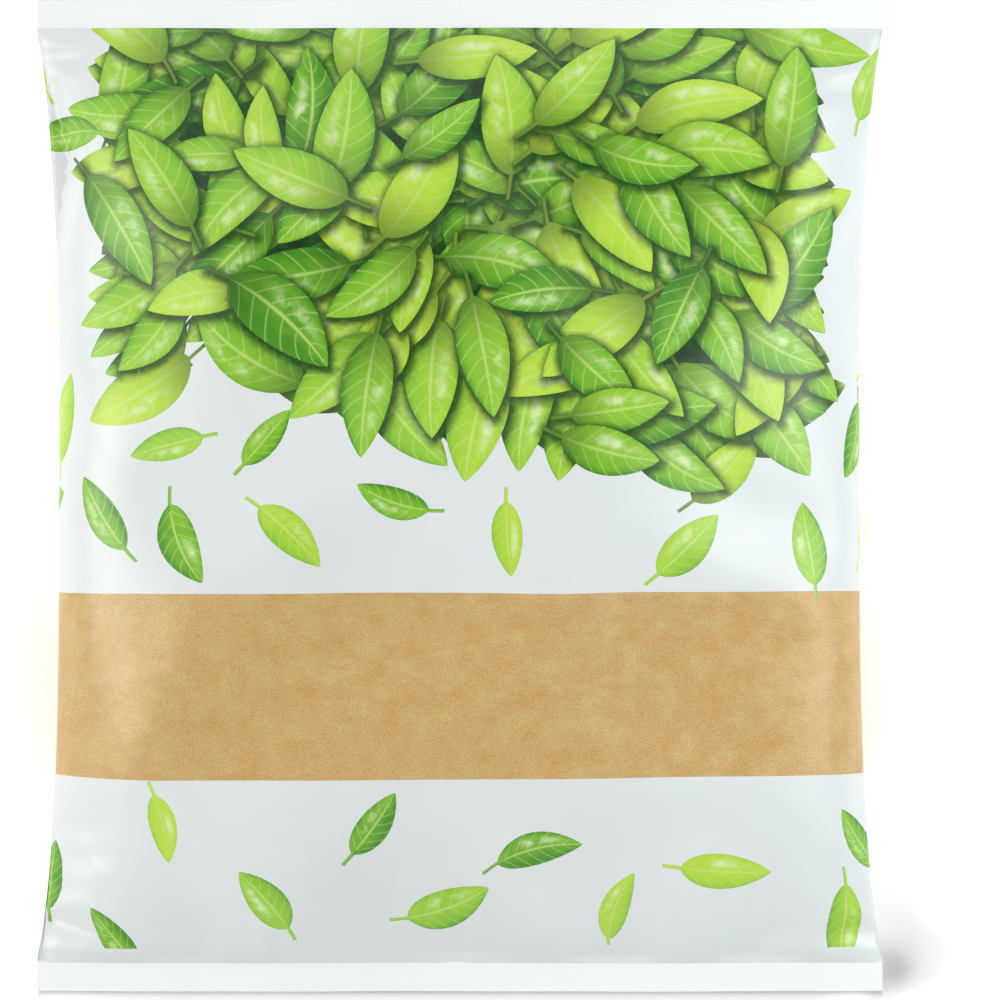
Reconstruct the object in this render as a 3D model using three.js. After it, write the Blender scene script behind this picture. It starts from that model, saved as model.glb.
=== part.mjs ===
// Pillow bag of shelled edamame, lying on its back.
//
// X runs across the bag, Y from the bottom seal to the top seal, and Z up from the surface it lies on.
// A tube of film, closed by a fin seal along the back and by a flat seal at each end, holds the beans.
// Units are millimetres.
import * as THREE from "three";

// ---------------------------------------------------------------------------
// Driving dimensions
// ---------------------------------------------------------------------------

const FLAT_WIDTH = 210; // width of the empty tube, and length of both end seals
const BAG_LENGTH = 246; // overall, from one seal edge to the other
const END_SEAL = 7; // depth of an end seal
const WAIST_WIDTH = 198.6; // width across the middle, drawn in by the contents
const SEAL_LEVEL = 13; // height of the end seals above the surface
const DOME_RISE = 24; // rise of the front panel above the end seals
const FILM = 0.3; // film wall
const GAP = 0.3; // clearance between neighbouring pieces

const FIN = {
  width: 11, // folded flat to one side of the back's middle
  start: -1, // X of its welded root
  ply: 2 * FILM, // two layers of film
  ramp: 2.5, // width over which the back panel steps up beside it
};

const CRIMP = { ribs: 5, height: 0.12 }; // shallow ribs pressed into an end seal

const BEAN = {
  length: 15,
  width: 10,
  depth: 7.4,
  bend: 0.9, // how far the ends curve towards the hilum
  sides: 10,
  rings: 6,
};

const LAYER = {
  rows: 8,
  rowPitch: 18,
  beansInLongRow: 7, // every second row holds one less
  pitch: 20,
  jitter: 1.2,
  room: BEAN.depth + 1.6, // height kept free for it under the front panel
  fade: 12, // width over which that room closes round its edge
};

const FILL = {
  sideClearance: 1.5, // between the packed beans and the side folds
  reach: 0.93, // share of the way to the end seals that they fill
};

// Powers that set how the filled film rounds over. Across the middle, the two panels together keep
// the length of the empty tube's outline, twice FLAT_WIDTH, because film doesn't stretch.
const SIDE_FLARE_POWER = 3.1;
const DOME = { alongPower: 2.5, alongRound: 0.82, acrossPower: 2.4, acrossRound: 0.64 };
const BASE = { reach: 1.6, power: 3, alongRound: 0.85, acrossRound: 0.64 };

// ---------------------------------------------------------------------------
// Shape of the filled bag, over s across it and t along it, both from -1 to 1
// ---------------------------------------------------------------------------

const BODY_HALF = BAG_LENGTH / 2 - END_SEAL; // from the middle to an end seal
const PANEL_HALF = BODY_HALF - GAP; // a panel's own half length
const SIDE_DRAW = (FLAT_WIDTH - WAIST_WIDTH) / 2; // how far each side fold draws in
const BASE_DROP = SEAL_LEVEL - GAP / 2 - FILM; // from the back panel's rim down to the surface

/** A curve that falls from 1 at the middle to 0 at either end. */
const crown = (x, power, round) => (1 - Math.abs(x) ** power) ** round;

/** A smooth step from 0 to 1 as x goes from a to b. */
const ease = (x, a, b) => THREE.MathUtils.smoothstep(x, a, b);

/** Half width of the bag at t. */
const halfWidth = (t) => WAIST_WIDTH / 2 + SIDE_DRAW * Math.abs(t) ** SIDE_FLARE_POWER;

/** The front panel's rise above its rim, as a share of the whole dome. */
const domeShare = (s, t) =>
  crown(t, DOME.alongPower, DOME.alongRound) * crown(s, DOME.acrossPower, DOME.acrossRound);

/** The back panel's drop to the surface: 1 where it lies flat, rounding up to 0 at its rim. */
function dropShare(s, t) {
  const depth =
    BASE.reach * crown(t, BASE.power, BASE.alongRound) * crown(s, BASE.power, BASE.acrossRound);
  return depth < 1 ? 1 - (1 - depth) ** 2 : 1;
}

/** The channel along the back that takes the folded fin: 0 beside it, 1 over it. */
function finChannel(x) {
  const left = FIN.start - GAP;
  const right = FIN.start + FIN.width + GAP;
  return ease(x, left - FIN.ramp, left) * ease(right + FIN.ramp - x, 0, FIN.ramp);
}

/** A point of the front panel: inset 0 gives the outer skin, FILM the inner one. */
function frontPoint(s, t, inset = 0) {
  const x = s * (halfWidth(t) - inset);
  const rim = SEAL_LEVEL + GAP / 2 + FILM - inset;
  return new THREE.Vector3(x, t * PANEL_HALF, rim + DOME_RISE * domeShare(s, t));
}

/** A point of the back panel. Where the bag rests, the panel steps up over the fin, so both lie flat. */
function backPoint(s, t, inset = 0) {
  const x = s * (halfWidth(t) - inset);
  const drop = dropShare(s, t);
  const step = drop * finChannel(x) * (FIN.ply + GAP);
  return new THREE.Vector3(x, t * PANEL_HALF, (1 - drop) * BASE_DROP + step + inset);
}

// ---------------------------------------------------------------------------
// Mesh helpers
// ---------------------------------------------------------------------------

/** Steps from -1 to 1 that crowd towards both ends, where the film turns most. */
function crowded(count) {
  const sweep = Math.PI * 0.48;
  return Array.from({ length: count + 1 }, (_, i) => Math.sin((2 * i / count - 1) * sweep) / Math.sin(sweep));
}

/** A closed sheet: a top and a bottom skin over one grid of columns and rows, joined round the rim. */
function sheet(columns, rows, top, bottom) {
  const points = [];
  const triangles = [];
  const lastColumn = columns.length - 1;
  const lastRow = rows.length - 1;
  for (const skin of [top, bottom]) rows.forEach((t) => columns.forEach((s) => points.push(skin(s, t))));

  const under = columns.length * rows.length; // from a top point to the bottom point beneath it
  const at = (i, j) => j * columns.length + i;
  const quad = (a, b, c, d) => triangles.push(a, b, c, a, c, d);
  for (let j = 0; j < lastRow; j++) {
    for (let i = 0; i < lastColumn; i++) {
      const corners = [at(i, j), at(i + 1, j), at(i + 1, j + 1), at(i, j + 1)];
      quad(...corners);
      quad(...corners.map((corner) => corner + under).reverse());
    }
  }

  const rim = [];
  for (let i = 0; i < lastColumn; i++) rim.push(at(i, 0));
  for (let j = 0; j < lastRow; j++) rim.push(at(lastColumn, j));
  for (let i = lastColumn; i > 0; i--) rim.push(at(i, lastRow));
  for (let j = lastRow; j > 0; j--) rim.push(at(0, j));
  rim.forEach((here, k) => {
    const next = rim[(k + 1) % rim.length];
    quad(here, here + under, next + under, next);
  });

  const geometry = new THREE.BufferGeometry().setFromPoints(points);
  geometry.setIndex(triangles);
  geometry.computeVertexNormals();
  return geometry;
}

const material = (color, roughness) => new THREE.MeshStandardMaterial({ color, roughness, metalness: 0 });

const bag = new THREE.Group();

/** Adds a named piece to the bag. */
function add(name, geometry, finish) {
  const mesh = new THREE.Mesh(geometry, finish);
  mesh.name = name;
  bag.add(mesh);
  return mesh;
}

// ---------------------------------------------------------------------------
// Film: front panel, back panel, fin seal and end seals
// ---------------------------------------------------------------------------

const ALONG = crowded(30);

function buildFrontPanel() {
  const outer = (s, t) => frontPoint(s, t);
  const inner = (s, t) => frontPoint(s, t, FILM);
  add("front_panel", sheet(crowded(28), ALONG, outer, inner), material("#eaf0ee", 0.4));
}

/** Columns of the back panel: the crowded spacing, with closer ones where it steps up over the fin. */
function backColumns() {
  const reach = halfWidth(0);
  const left = FIN.start - GAP;
  const right = FIN.start + FIN.width + GAP;
  const steps = [0, 0.5, 1].flatMap((k) => [left - k * FIN.ramp, right + k * FIN.ramp]);
  const beside = 2 * FIN.ramp;
  const wide = crowded(20).filter((s) => s * reach < left - beside || s * reach > right + beside);
  return [...wide, ...steps.map((x) => x / reach)].sort((a, b) => a - b);
}

function buildBackPanel() {
  const inner = (s, t) => backPoint(s, t, FILM);
  const outer = (s, t) => backPoint(s, t);
  add("back_panel", sheet(backColumns(), ALONG, inner, outer), material("#e6ecea", 0.42));
}

function buildFinSeal() {
  const face = (height) => (s, t) => {
    const x = FIN.start + ((s + 1) / 2) * FIN.width;
    const panel = backPoint(x / halfWidth(t), t);
    return new THREE.Vector3(x, panel.y, panel.z - GAP - FIN.ply + height);
  };
  add("fin_seal", sheet([-1, 0, 1], ALONG, face(FIN.ply), face(0)), material("#eef2f1", 0.4));
}

/** An end seal: two films welded flat, with crimp ribs along their length. */
function buildEndSeal(name, side) {
  const profile = new THREE.Shape();
  const steps = 2 * CRIMP.ribs;
  const point = (k, face) => [(k / steps) * END_SEAL, face * FILM + (k % 2) * CRIMP.height];
  profile.moveTo(...point(0, -1));
  for (let k = 1; k <= steps; k++) profile.lineTo(...point(k, -1));
  for (let k = steps; k >= 0; k--) profile.lineTo(...point(k, 1));

  // The profile points outwards from the panel, its own Y is up, and it is extruded across the bag.
  const geometry = new THREE.ExtrudeGeometry(profile, { depth: FLAT_WIDTH, bevelEnabled: false });
  const outwards = new THREE.Vector3(0, side, 0);
  const up = new THREE.Vector3(0, 0, 1);
  const across = new THREE.Vector3(side, 0, 0);
  const seal = add(name, geometry, material("#f3f5f6", 0.38));
  seal.quaternion.setFromRotationMatrix(new THREE.Matrix4().makeBasis(outwards, up, across));
  seal.position.set((-side * FLAT_WIDTH) / 2, side * BODY_HALF, SEAL_LEVEL);
}

// ---------------------------------------------------------------------------
// Contents: the packed beans, and the layer of single beans under the front panel
// ---------------------------------------------------------------------------

/** How far the packed beans stand below the front panel, to leave room for the single ones. */
function layerRoom(x, y) {
  const margin = 0.6 * BEAN.length + LAYER.fade;
  const halfX = ((LAYER.beansInLongRow - 1) / 2) * LAYER.pitch + margin;
  const halfY = ((LAYER.rows - 1) / 2) * LAYER.rowPitch + margin;
  return LAYER.room * ease(halfX - Math.abs(x), 0, LAYER.fade) * ease(halfY - Math.abs(y), 0, LAYER.fade);
}

function buildFill() {
  const drawIn = 1 - FILL.sideClearance / halfWidth(0);
  const skin = (panelPoint, offset) => (s, t) => {
    const p = panelPoint(s, t, FILM);
    p.x *= drawIn;
    p.z = Math.abs(s) === 1 ? SEAL_LEVEL : p.z + offset(p.x, p.y);
    return p;
  };
  const top = skin(frontPoint, (x, y) => -layerRoom(x, y) - 2 * GAP);
  const bottom = skin(backPoint, () => 2 * GAP);
  const rows = crowded(20).map((t) => t * FILL.reach);
  add("edamame_fill", sheet(crowded(18), rows, top, bottom), material("#8fc043", 0.55));
}

/** A bean: an ellipsoid, flattened, whose ends curve a little towards the hilum. */
function beanGeometry() {
  const geometry = new THREE.SphereGeometry(0.5, BEAN.sides, BEAN.rings);
  geometry.scale(BEAN.length, BEAN.depth, BEAN.width);
  geometry.rotateX(Math.PI / 2);
  const position = geometry.attributes.position;
  for (let i = 0; i < position.count; i++) {
    const along = (2 * position.getX(i)) / BEAN.length;
    position.setY(i, position.getY(i) + BEAN.bend * (along * along - 0.5));
  }
  geometry.computeVertexNormals();
  return geometry;
}

/** Height of the front panel's inner skin at x and y, and the direction that it faces there. */
function panelAbove(x, y) {
  const step = 2;
  const height = (px, py) => {
    const t = py / PANEL_HALF;
    return frontPoint(px / (halfWidth(t) - FILM), t, FILM).z;
  };
  const slopeX = (height(x + step, y) - height(x - step, y)) / (2 * step);
  const slopeY = (height(x, y + step) - height(x, y - step)) / (2 * step);
  return { z: height(x, y), normal: new THREE.Vector3(-slopeX, -slopeY, 1).normalize() };
}

function buildBeans() {
  const geometry = beanGeometry();
  const skins = ["#8cc63f", "#7fba39", "#9ccb4c", "#74b035"].map((color) => material(color, 0.5));
  const up = new THREE.Vector3(0, 0, 1);
  const goldenAngle = Math.PI * (3 - Math.sqrt(5));
  const below = BEAN.depth / 2 + 2 * GAP;
  let count = 0;
  for (let row = 0; row < LAYER.rows; row++) {
    const inRow = LAYER.beansInLongRow - (row % 2);
    for (let k = 0; k < inRow; k++) {
      count += 1;
      const turn = count * goldenAngle;
      const x = (k - (inRow - 1) / 2) * LAYER.pitch + LAYER.jitter * Math.cos(3 * turn);
      const y = (row - (LAYER.rows - 1) / 2) * LAYER.rowPitch + LAYER.jitter * Math.sin(5 * turn);
      const panel = panelAbove(x, y);
      const name = "bean_" + String(count).padStart(2, "0");
      const bean = add(name, geometry, skins[count % skins.length]);
      bean.position.set(x, y, panel.z).addScaledVector(panel.normal, -below);
      bean.quaternion.setFromUnitVectors(up, panel.normal);
      bean.rotateZ(turn);
    }
  }
}

buildFrontPanel();
buildBackPanel();
buildFinSeal();
buildEndSeal("top_seal", 1);
buildEndSeal("bottom_seal", -1);
buildFill();
buildBeans();

export default bag;
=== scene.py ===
"""Pillow bag of shelled edamame, lying on its back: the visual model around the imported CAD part.

The bag is one sleeve of white film. It is laid out flat as a grid, filled, and let settle on the
floor; its front, back and fin are then cut from that one settled surface, and the print is cut
into the front and back as real outlines. Sizes are in millimetres until a mesh is made.
"""

from __future__ import annotations

import logging
import math
from collections.abc import Callable
from dataclasses import dataclass, field, replace
from enum import Enum

import bpy
import numpy as np
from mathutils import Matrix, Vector
from mathutils.geometry import delaunay_2d_cdt

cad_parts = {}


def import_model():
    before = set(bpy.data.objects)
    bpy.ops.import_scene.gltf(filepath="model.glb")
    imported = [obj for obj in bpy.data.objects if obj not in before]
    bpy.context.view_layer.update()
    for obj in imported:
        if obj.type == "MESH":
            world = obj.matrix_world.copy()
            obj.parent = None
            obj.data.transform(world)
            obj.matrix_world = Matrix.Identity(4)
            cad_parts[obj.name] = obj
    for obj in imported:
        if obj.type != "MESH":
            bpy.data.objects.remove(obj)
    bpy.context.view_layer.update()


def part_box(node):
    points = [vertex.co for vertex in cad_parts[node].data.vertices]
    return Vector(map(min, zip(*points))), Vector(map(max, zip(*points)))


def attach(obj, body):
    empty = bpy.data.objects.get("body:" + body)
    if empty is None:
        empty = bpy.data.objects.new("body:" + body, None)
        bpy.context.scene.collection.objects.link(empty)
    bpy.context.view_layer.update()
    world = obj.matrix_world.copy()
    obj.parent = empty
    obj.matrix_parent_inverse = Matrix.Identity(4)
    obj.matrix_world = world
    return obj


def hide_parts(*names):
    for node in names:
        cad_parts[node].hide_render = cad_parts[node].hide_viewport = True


LOG = logging.getLogger("pillow_bag")
METRE = 0.001  # one millimetre in metres

Tree = bpy.types.NodeTree
Node = bpy.types.Node
Source = Node | bpy.types.NodeSocket  # what feeds an input; a node stands for its first output
Colour = tuple[float, float, float, float]
Point = tuple[float, float, float]
Pair = tuple[float, float]
EdgeBatch = tuple[np.ndarray, np.ndarray, np.ndarray, float]  # two ends, rest lengths, firmness


# ---------------- helpers


def linear(code: str) -> Colour:
    """Turns an sRGB hex colour into linear light.

    Args:
        code: the colour as "#RRGGBB".

    Returns:
        Linear red, green and blue, and an alpha of 1.
    """
    parts = [int(code[i : i + 2], 16) / 255 for i in (1, 3, 5)]
    light = [c / 12.92 if c <= 0.04045 else ((c + 0.055) / 1.055) ** 2.4 for c in parts]
    return (light[0], light[1], light[2], 1.0)


def grey(value: float) -> Colour:
    """A linear grey."""
    return (value, value, value, 1.0)


def per_metre(size_mm: float) -> float:
    """The scale of a pattern whose patches have a size in millimetres."""
    return 1 / (size_mm * METRE)


class Blend(Enum):
    """How a colour ramp runs from one stop to the next."""

    STRAIGHT = "LINEAR"
    EASED = "EASE"


def add_node(tree: Tree, kind: str, settings: dict | None = None, links: dict | None = None) -> Node:
    """Adds one shader node with its settings and its incoming links.

    Args:
        tree: the node tree that gets the node.
        kind: the node's type without the "ShaderNode" in front.
        settings: values by input name or number, or by the node's own property name. A colour ramp
            also has "stops", its places and linear colours in order, and "blend".
        links: what feeds each input, by the input's name or number.

    Returns:
        The new node.
    """
    made = tree.nodes.new("ShaderNode" + kind)
    for key, value in (settings or {}).items():
        if key == "stops":
            band = made.color_ramp.elements
            while len(band) < len(value):
                band.new(0.5)
            for element, (place, colour) in zip(band, value):
                element.position = place
                element.color = colour
        elif key == "blend":
            made.color_ramp.interpolation = value.value
        elif isinstance(key, str) and hasattr(made, key):
            setattr(made, key, value)
        else:
            made.inputs[key].default_value = value
    for key, source in (links or {}).items():
        tree.links.new(source.outputs[0] if isinstance(source, Node) else source, made.inputs[key])
    return made


def put_in_scene(name: str, data: bpy.types.ID) -> bpy.types.Object:
    """Puts a mesh, a lamp or a camera into the scene.

    Args:
        name: the object's name.
        data: what it shows.

    Returns:
        The object.
    """
    made = bpy.data.objects.new(name, data)
    bpy.context.scene.collection.objects.link(made)
    return made


def add_mesh(
    name: str, points: np.ndarray | tuple, faces: np.ndarray | list, smooth: bool = True
) -> bpy.types.Object:
    """Puts a mesh into the scene.

    Args:
        name: the object's name.
        points: its points, in millimetres.
        faces: the points of each face, in order.
        smooth: whether its faces are shaded as one smooth surface.

    Returns:
        The object, in metres.
    """
    mesh = bpy.data.meshes.new(name)
    mesh.from_pydata(np.array(points) * METRE, [], faces)
    mesh.polygons.foreach_set("use_smooth", np.full(len(faces), smooth))
    return put_in_scene(name, mesh)


def grid_triangles(rows: int, columns: int, flipped: bool) -> np.ndarray:
    """Two triangles for each cell of a grid of points.

    Args:
        rows: rows of points.
        columns: points in a row.
        flipped: turns the faces round.

    Returns:
        The triangles.
    """
    i = np.arange(rows * columns).reshape(rows, columns)
    a, b, c, d = (corner.ravel() for corner in (i[:-1, :-1], i[:-1, 1:], i[1:, 1:], i[1:, :-1]))
    made = np.concatenate([np.stack([a, b, c], 1), np.stack([a, c, d], 1)])
    return made[:, ::-1] if flipped else made


def grid_normals(grid: np.ndarray) -> np.ndarray:
    """The unit directions that a grid of points faces, as one list."""
    out = np.cross(np.gradient(grid, axis=1), np.gradient(grid, axis=0))
    return (out / np.linalg.norm(out, axis=-1, keepdims=True)).reshape(-1, 3)


def face_normals(points: np.ndarray, triangles: np.ndarray) -> np.ndarray:
    """The direction that each triangle faces.

    Args:
        points: the points.
        triangles: three points for each triangle.

    Returns:
        Unit normals, or zero where a triangle has no area.
    """
    a, b, c = (points[triangles[:, k]] for k in range(3))
    out = np.cross(b - a, c - a)
    return out / np.maximum(np.linalg.norm(out, axis=1, keepdims=True), 1e-12)


def crown(share: np.ndarray | float, power: float, roundness: float) -> np.ndarray:
    """A dome's height: 1 in the middle, 0 at the rim, where the share of the way out is 1 or -1."""
    return np.clip(1 - np.abs(share) ** power, 0, 1) ** roundness


def eased(value: np.ndarray, start: float, end: float) -> np.ndarray:
    """Rises smoothly from 0 at start to 1 at end."""
    t = np.clip((value - start) / (end - start), 0, 1)
    return t * t * (3 - 2 * t)


def within(outline: np.ndarray, places: np.ndarray) -> np.ndarray:
    """Which places lie inside a closed outline.

    Args:
        outline: its points in order.
        places: the places to test.

    Returns:
        True for each place inside.
    """
    inside = np.zeros(len(places), bool)
    for (ax, ay), (bx, by) in zip(outline, np.roll(outline, -1, 0)):
        if ay != by:
            spans = (places[:, 1] > min(ay, by)) & (places[:, 1] <= max(ay, by))
            crossing = ax + (places[:, 1] - ay) / (by - ay) * (bx - ax)
            inside ^= spans & (places[:, 0] < crossing)
    return inside


def soft_noise(rng: np.random.Generator, rows: int, columns: int, spread: float) -> np.ndarray:
    """Smooth random heights that close on themselves across.

    Args:
        rng: the seeded generator.
        rows: number of rows.
        columns: number of columns, the last beside the first.
        spread: how far one bump reaches, in cells.

    Returns:
        Heights with a mean square of 1.
    """
    i, j = np.arange(rows), np.arange(columns)
    along = np.exp(-0.5 * ((i[:, None] - i) / spread) ** 2)
    along /= along.sum(1, keepdims=True)
    apart = np.abs(j[:, None] - j)
    across = np.exp(-0.5 * (np.minimum(apart, columns - apart) / spread) ** 2)
    noise = along @ rng.normal(size=(rows, columns)) @ across
    return noise / noise.std()


# ---------------- sizes and the settled film


@dataclass(frozen=True)
class BagSizes:
    """The bag's main sizes in millimetres, most of them read from the CAD solids."""

    flat_width: float
    body_half: float
    bag_half: float
    seal_level: float
    dome_rise: float
    fin_start: float
    fin_end: float
    waist_half: float = 99.7  # half the width across the middle, where the filled film pulls in
    flare_power: float = 2.9  # how late the sides flare out to the seals' full width
    base_reach: float = 1.6  # how far the flat underside spreads towards the seals
    film: float = 0.09  # two-layer bag film
    seal_waves: tuple[Point, ...] = ((0.45, 2.1, 1.1), (0.25, 4.7, -0.6))  # height, half turns, shift
    corner_droop: float = 0.9

    @classmethod
    def from_frame(cls) -> BagSizes:
        """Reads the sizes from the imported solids.

        Returns:
            The sizes.
        """
        nodes = ("top_seal", "front_panel", "fin_seal")
        seal, front, fin = (np.array(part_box(node)) / METRE for node in nodes)
        level = float(seal[0, 2] + seal[1, 2]) / 2
        return cls(
            flat_width=float(seal[1, 0] - seal[0, 0]),
            body_half=float(seal[0, 1]),
            bag_half=float(seal[1, 1]),
            seal_level=level,
            dome_rise=float(front[1, 2]) - level,
            fin_start=float(fin[0, 0]),
            fin_end=float(fin[1, 0]),
        )

    @property
    def half_width(self) -> float:
        """Half the flat sleeve's width."""
        return self.flat_width / 2

    def seal_height(self, x: np.ndarray, end: int) -> np.ndarray:
        """How high a seal runs above the floor, with a slow wave and a droop at its corners.

        Args:
            x: places along the seal.
            end: 1 for the top seal, -1 for the bottom seal.

        Returns:
            Heights.
        """
        s = x / self.half_width
        wave = sum(h * np.sin(turns * math.pi * s + shift * end) for h, turns, shift in self.seal_waves)
        return self.seal_level + wave * (1 - 0.4 * s**2) - self.corner_droop * s**4


@dataclass
class FilmSleeve:
    """The film tube between the seals, filled and let settle on the floor.

    The film hardly stretches, so each grid edge keeps its length while the contents push it out
    like a heavy fluid. The folds and soft dents come from that alone.
    """

    sizes: BagSizes
    film_length: float = 238.0  # along the film between the seals, longer than the straight way
    across: int = 168  # cells round the sleeve
    along: int = 96  # rows of points from seal to seal
    steps: int = 450
    # how flat each dome's middle is, and how steep its rim
    top_along: Pair = (2.5, 0.82)
    top_across: Pair = (2.4, 0.64)
    base_along: Pair = (3.0, 0.85)
    base_across: Pair = (3.0, 0.64)
    slack: float = 0.42  # how much of each edge's length comes from the flat sleeve's grid
    stiffness: float = 0.08  # resistance to sharp bends
    fullness: float = 0.92  # contents, as a share of the smooth shape's volume
    load: float = 0.009  # push of the contents at the floor
    ear_push: float = 0.2  # share of the push left beside the seals, where few beans reach
    ear_power: float = 3.0
    fold_hold: float = 0.2  # how firmly the side folds keep their set line
    weight: float = 0.0013  # the film's own sag at each step
    lumps: float = 0.24  # unevenness of the contents
    lump_size: float = 8.0
    fin_room: float = 0.5  # the fin lifts the back panel by this much
    fin_ramp: float = 5.0  # and the panel comes back to the floor over this much beside it
    jitter: float = 0.2  # tiny heights at the start, from which the dents grow
    firmness: float = 40.0  # how hard the contents answer a change of volume
    push_limits: Pair = (-0.02, 0.08)
    heap_height: float = 40.0  # the contents push no more at this height
    lively: float = 0.97  # share of the speed that each step keeps at first
    calm: float = 0.9  # and in the later steps
    calm_from: float = 0.6
    seed: int = 13
    points: np.ndarray = field(init=False)

    def __post_init__(self) -> None:
        """Starts from the smooth filled shape."""
        self.points = self.filled_shape()

    @property
    def cell_across(self) -> float:
        """Width of one cell of the flat film."""
        return 2 * self.sizes.flat_width / self.across

    @property
    def cell_along(self) -> float:
        """Length of one cell of the flat film."""
        return self.film_length / (self.along - 1)

    def half_at(self, t: float | np.ndarray) -> float | np.ndarray:
        """Half the filled bag's width, where t runs from -1 at the bottom seal to 1 at the top seal."""
        z = self.sizes
        return z.waist_half + (z.half_width - z.waist_half) * np.abs(t) ** z.flare_power

    def filled_shape(self) -> np.ndarray:
        """The smooth shape that the bag starts from: domed above, flat below, pinched at the seals.

        Returns:
            Points by row and column, from the left fold over the front and round the back.
        """
        z = self.sizes
        made = np.zeros((self.along, self.across, 3))
        s = np.sin(np.linspace(-math.pi / 2, math.pi / 2, 1201))
        for row in range(self.along):
            t = -1 + 2 * row / (self.along - 1)
            half = self.half_at(t)
            top = z.seal_level + z.dome_rise * crown(t, *self.top_along) * crown(s, *self.top_across)
            depth = z.base_reach * crown(t, *self.base_along) * crown(s, *self.base_across)
            drop = np.where(depth < 1, 1 - (1 - depth) ** 2, 1)
            low = z.seal_level * (1 - drop)
            x = np.concatenate([s * half, (s * half)[::-1][1:]])
            h = np.concatenate([top, low[::-1][1:]])
            end = 1 if t > 0 else -1
            h += (z.seal_height(x, end) - z.seal_level) * eased(np.abs(np.full_like(x, t)), 0.7, 1.0)
            way = np.concatenate([[0], np.cumsum(np.hypot(np.diff(x), np.diff(h)))])
            at = np.arange(self.across) / self.across * way[-1]
            made[row, :, 0] = np.interp(at, way, x)
            made[row, :, 1] = t * z.body_half
            made[row, :, 2] = np.interp(at, way, h)
        return made

    def volume(self, p: np.ndarray) -> float:
        """Volume inside the sleeve.

        Args:
            p: the grid of points.

        Returns:
            Cubic millimetres.
        """
        a, d = p[:-1], p[1:]
        b, c = np.roll(a, -1, 1), np.roll(d, -1, 1)
        halves = (np.einsum("ijk,ijk->", a, np.cross(*sides)) for sides in ((b, c), (c, d)))
        return float(sum(halves) / 6)

    def edges(self) -> list[EdgeBatch]:
        """The film's edges in batches that share no point.

        Returns:
            For each batch the two ends, their rest lengths and how firmly they are kept.
        """
        rows, columns = self.along, self.across
        grid = np.arange(rows * columns).reshape(rows, columns)
        right, right_two = np.roll(grid, -1, 1), np.roll(grid, -2, 1)
        row, column = np.indices((rows, columns))
        flat = self.points.reshape(-1, 3)
        wide, long_ = self.cell_across, self.cell_along
        slant = math.hypot(wide, long_)
        families = [
            (grid, right, wide, 1.0, column % 2),
            (grid[:-1], grid[1:], long_, 1.0, row[:-1] % 2),
            (grid[:-1], right[1:], slant, 0.8, row[:-1] % 2),
            (right[:-1], grid[1:], slant, 0.8, row[:-1] % 2),
            (grid, right_two, 2 * wide, self.stiffness, (column // 2) % 2),
            (grid[:-2], grid[2:], 2 * long_, self.stiffness, (row[:-2] // 2) % 2),
        ]
        batches = []
        for a, b, length, firm, colour in families:
            now = np.linalg.norm(flat[a] - flat[b], axis=-1)
            rest = self.slack * length + (1 - self.slack) * now
            batches += [(a[colour == k], b[colour == k], rest[colour == k], firm) for k in (0, 1)]
        return batches

    def floor_under(self, x: np.ndarray) -> np.ndarray:
        """How low the film may sink: the floor, and over it the fin's two plies.

        Args:
            x: places across the bag.

        Returns:
            Heights.
        """
        z = self.sizes
        beside = np.maximum(z.fin_start - 1 - x, x - z.fin_end - 1)
        return self.fin_room * (1 - eased(beside, 0, self.fin_ramp))

    def keep_lengths(self, flat: np.ndarray, free: np.ndarray, batches: list[EdgeBatch]) -> None:
        """Moves the film's points so that its edges come back to their lengths.

        Args:
            flat: the points as one list, changed in place.
            free: 1 for each point that may move, else 0.
            batches: the edges.
        """
        for a, b, rest, firm in batches:
            gap = flat[b] - flat[a]
            length = np.sqrt((gap * gap).sum(1))
            share = free[a] + free[b]
            share[share == 0] = 1
            move = (firm * (length - rest) / (length * share))[:, None] * gap
            flat[a] += move * free[a][:, None]
            flat[b] -= move * free[b][:, None]

    def settle(self) -> None:
        """Lets the filled sleeve settle on the floor."""
        rng = np.random.default_rng(self.seed)
        home = self.points.copy()
        target = self.fullness * self.volume(home)
        t = np.linspace(-1, 1, self.along)
        reach = self.ear_push + (1 - self.ear_push) * crown(t, self.ear_power, 1)
        batches = self.edges()
        held = np.zeros((self.along, self.across), bool)
        held[[0, -1]] = True
        free = (~held).astype(float).ravel()
        uneven = soft_noise(rng, self.along, self.across, self.lump_size / self.cell_across)
        fold_line = self.half_at(t)
        folds = ((0, -fold_line), (self.across // 2, fold_line))
        p = home.copy()
        p[..., 2] += self.jitter * soft_noise(rng, self.along, self.across, 2.0) * ~held
        before = p.copy()
        for step in range(self.steps):
            inside = np.clip(self.firmness * (target / self.volume(p) - 1), *self.push_limits)
            speed = (p - before) * (self.lively if step < self.calm_from * self.steps else self.calm)
            side = np.roll(p, -1, 1) - np.roll(p, 1, 1)
            up = np.zeros_like(p)
            up[1:-1] = p[2:] - p[:-2]
            out = np.cross(side, up) / (4 * self.cell_across * self.cell_along)
            depth = (self.heap_height - p[..., 2]) / self.heap_height
            push = inside + self.load * (depth + self.lumps * uneven)
            before = p.copy()
            p = p + speed + out * (push * reach[:, None])[..., None]
            p[..., 2] -= self.weight
            for column, line in folds:
                p[:, column, 0] += self.fold_hold * (line - p[:, column, 0])
            p[0], p[-1] = home[0], home[-1]
            flat = p.reshape(-1, 3)
            self.keep_lengths(flat, free, batches)
            low = np.where(free > 0, self.floor_under(flat[:, 0]), flat[:, 2])
            flat[:, 2] = np.maximum(flat[:, 2], low)
        self.points = p
        LOG.info("film settled: volume %.0f ml, top %.1f mm", self.volume(p) / 1000, p[..., 2].max())


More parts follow.
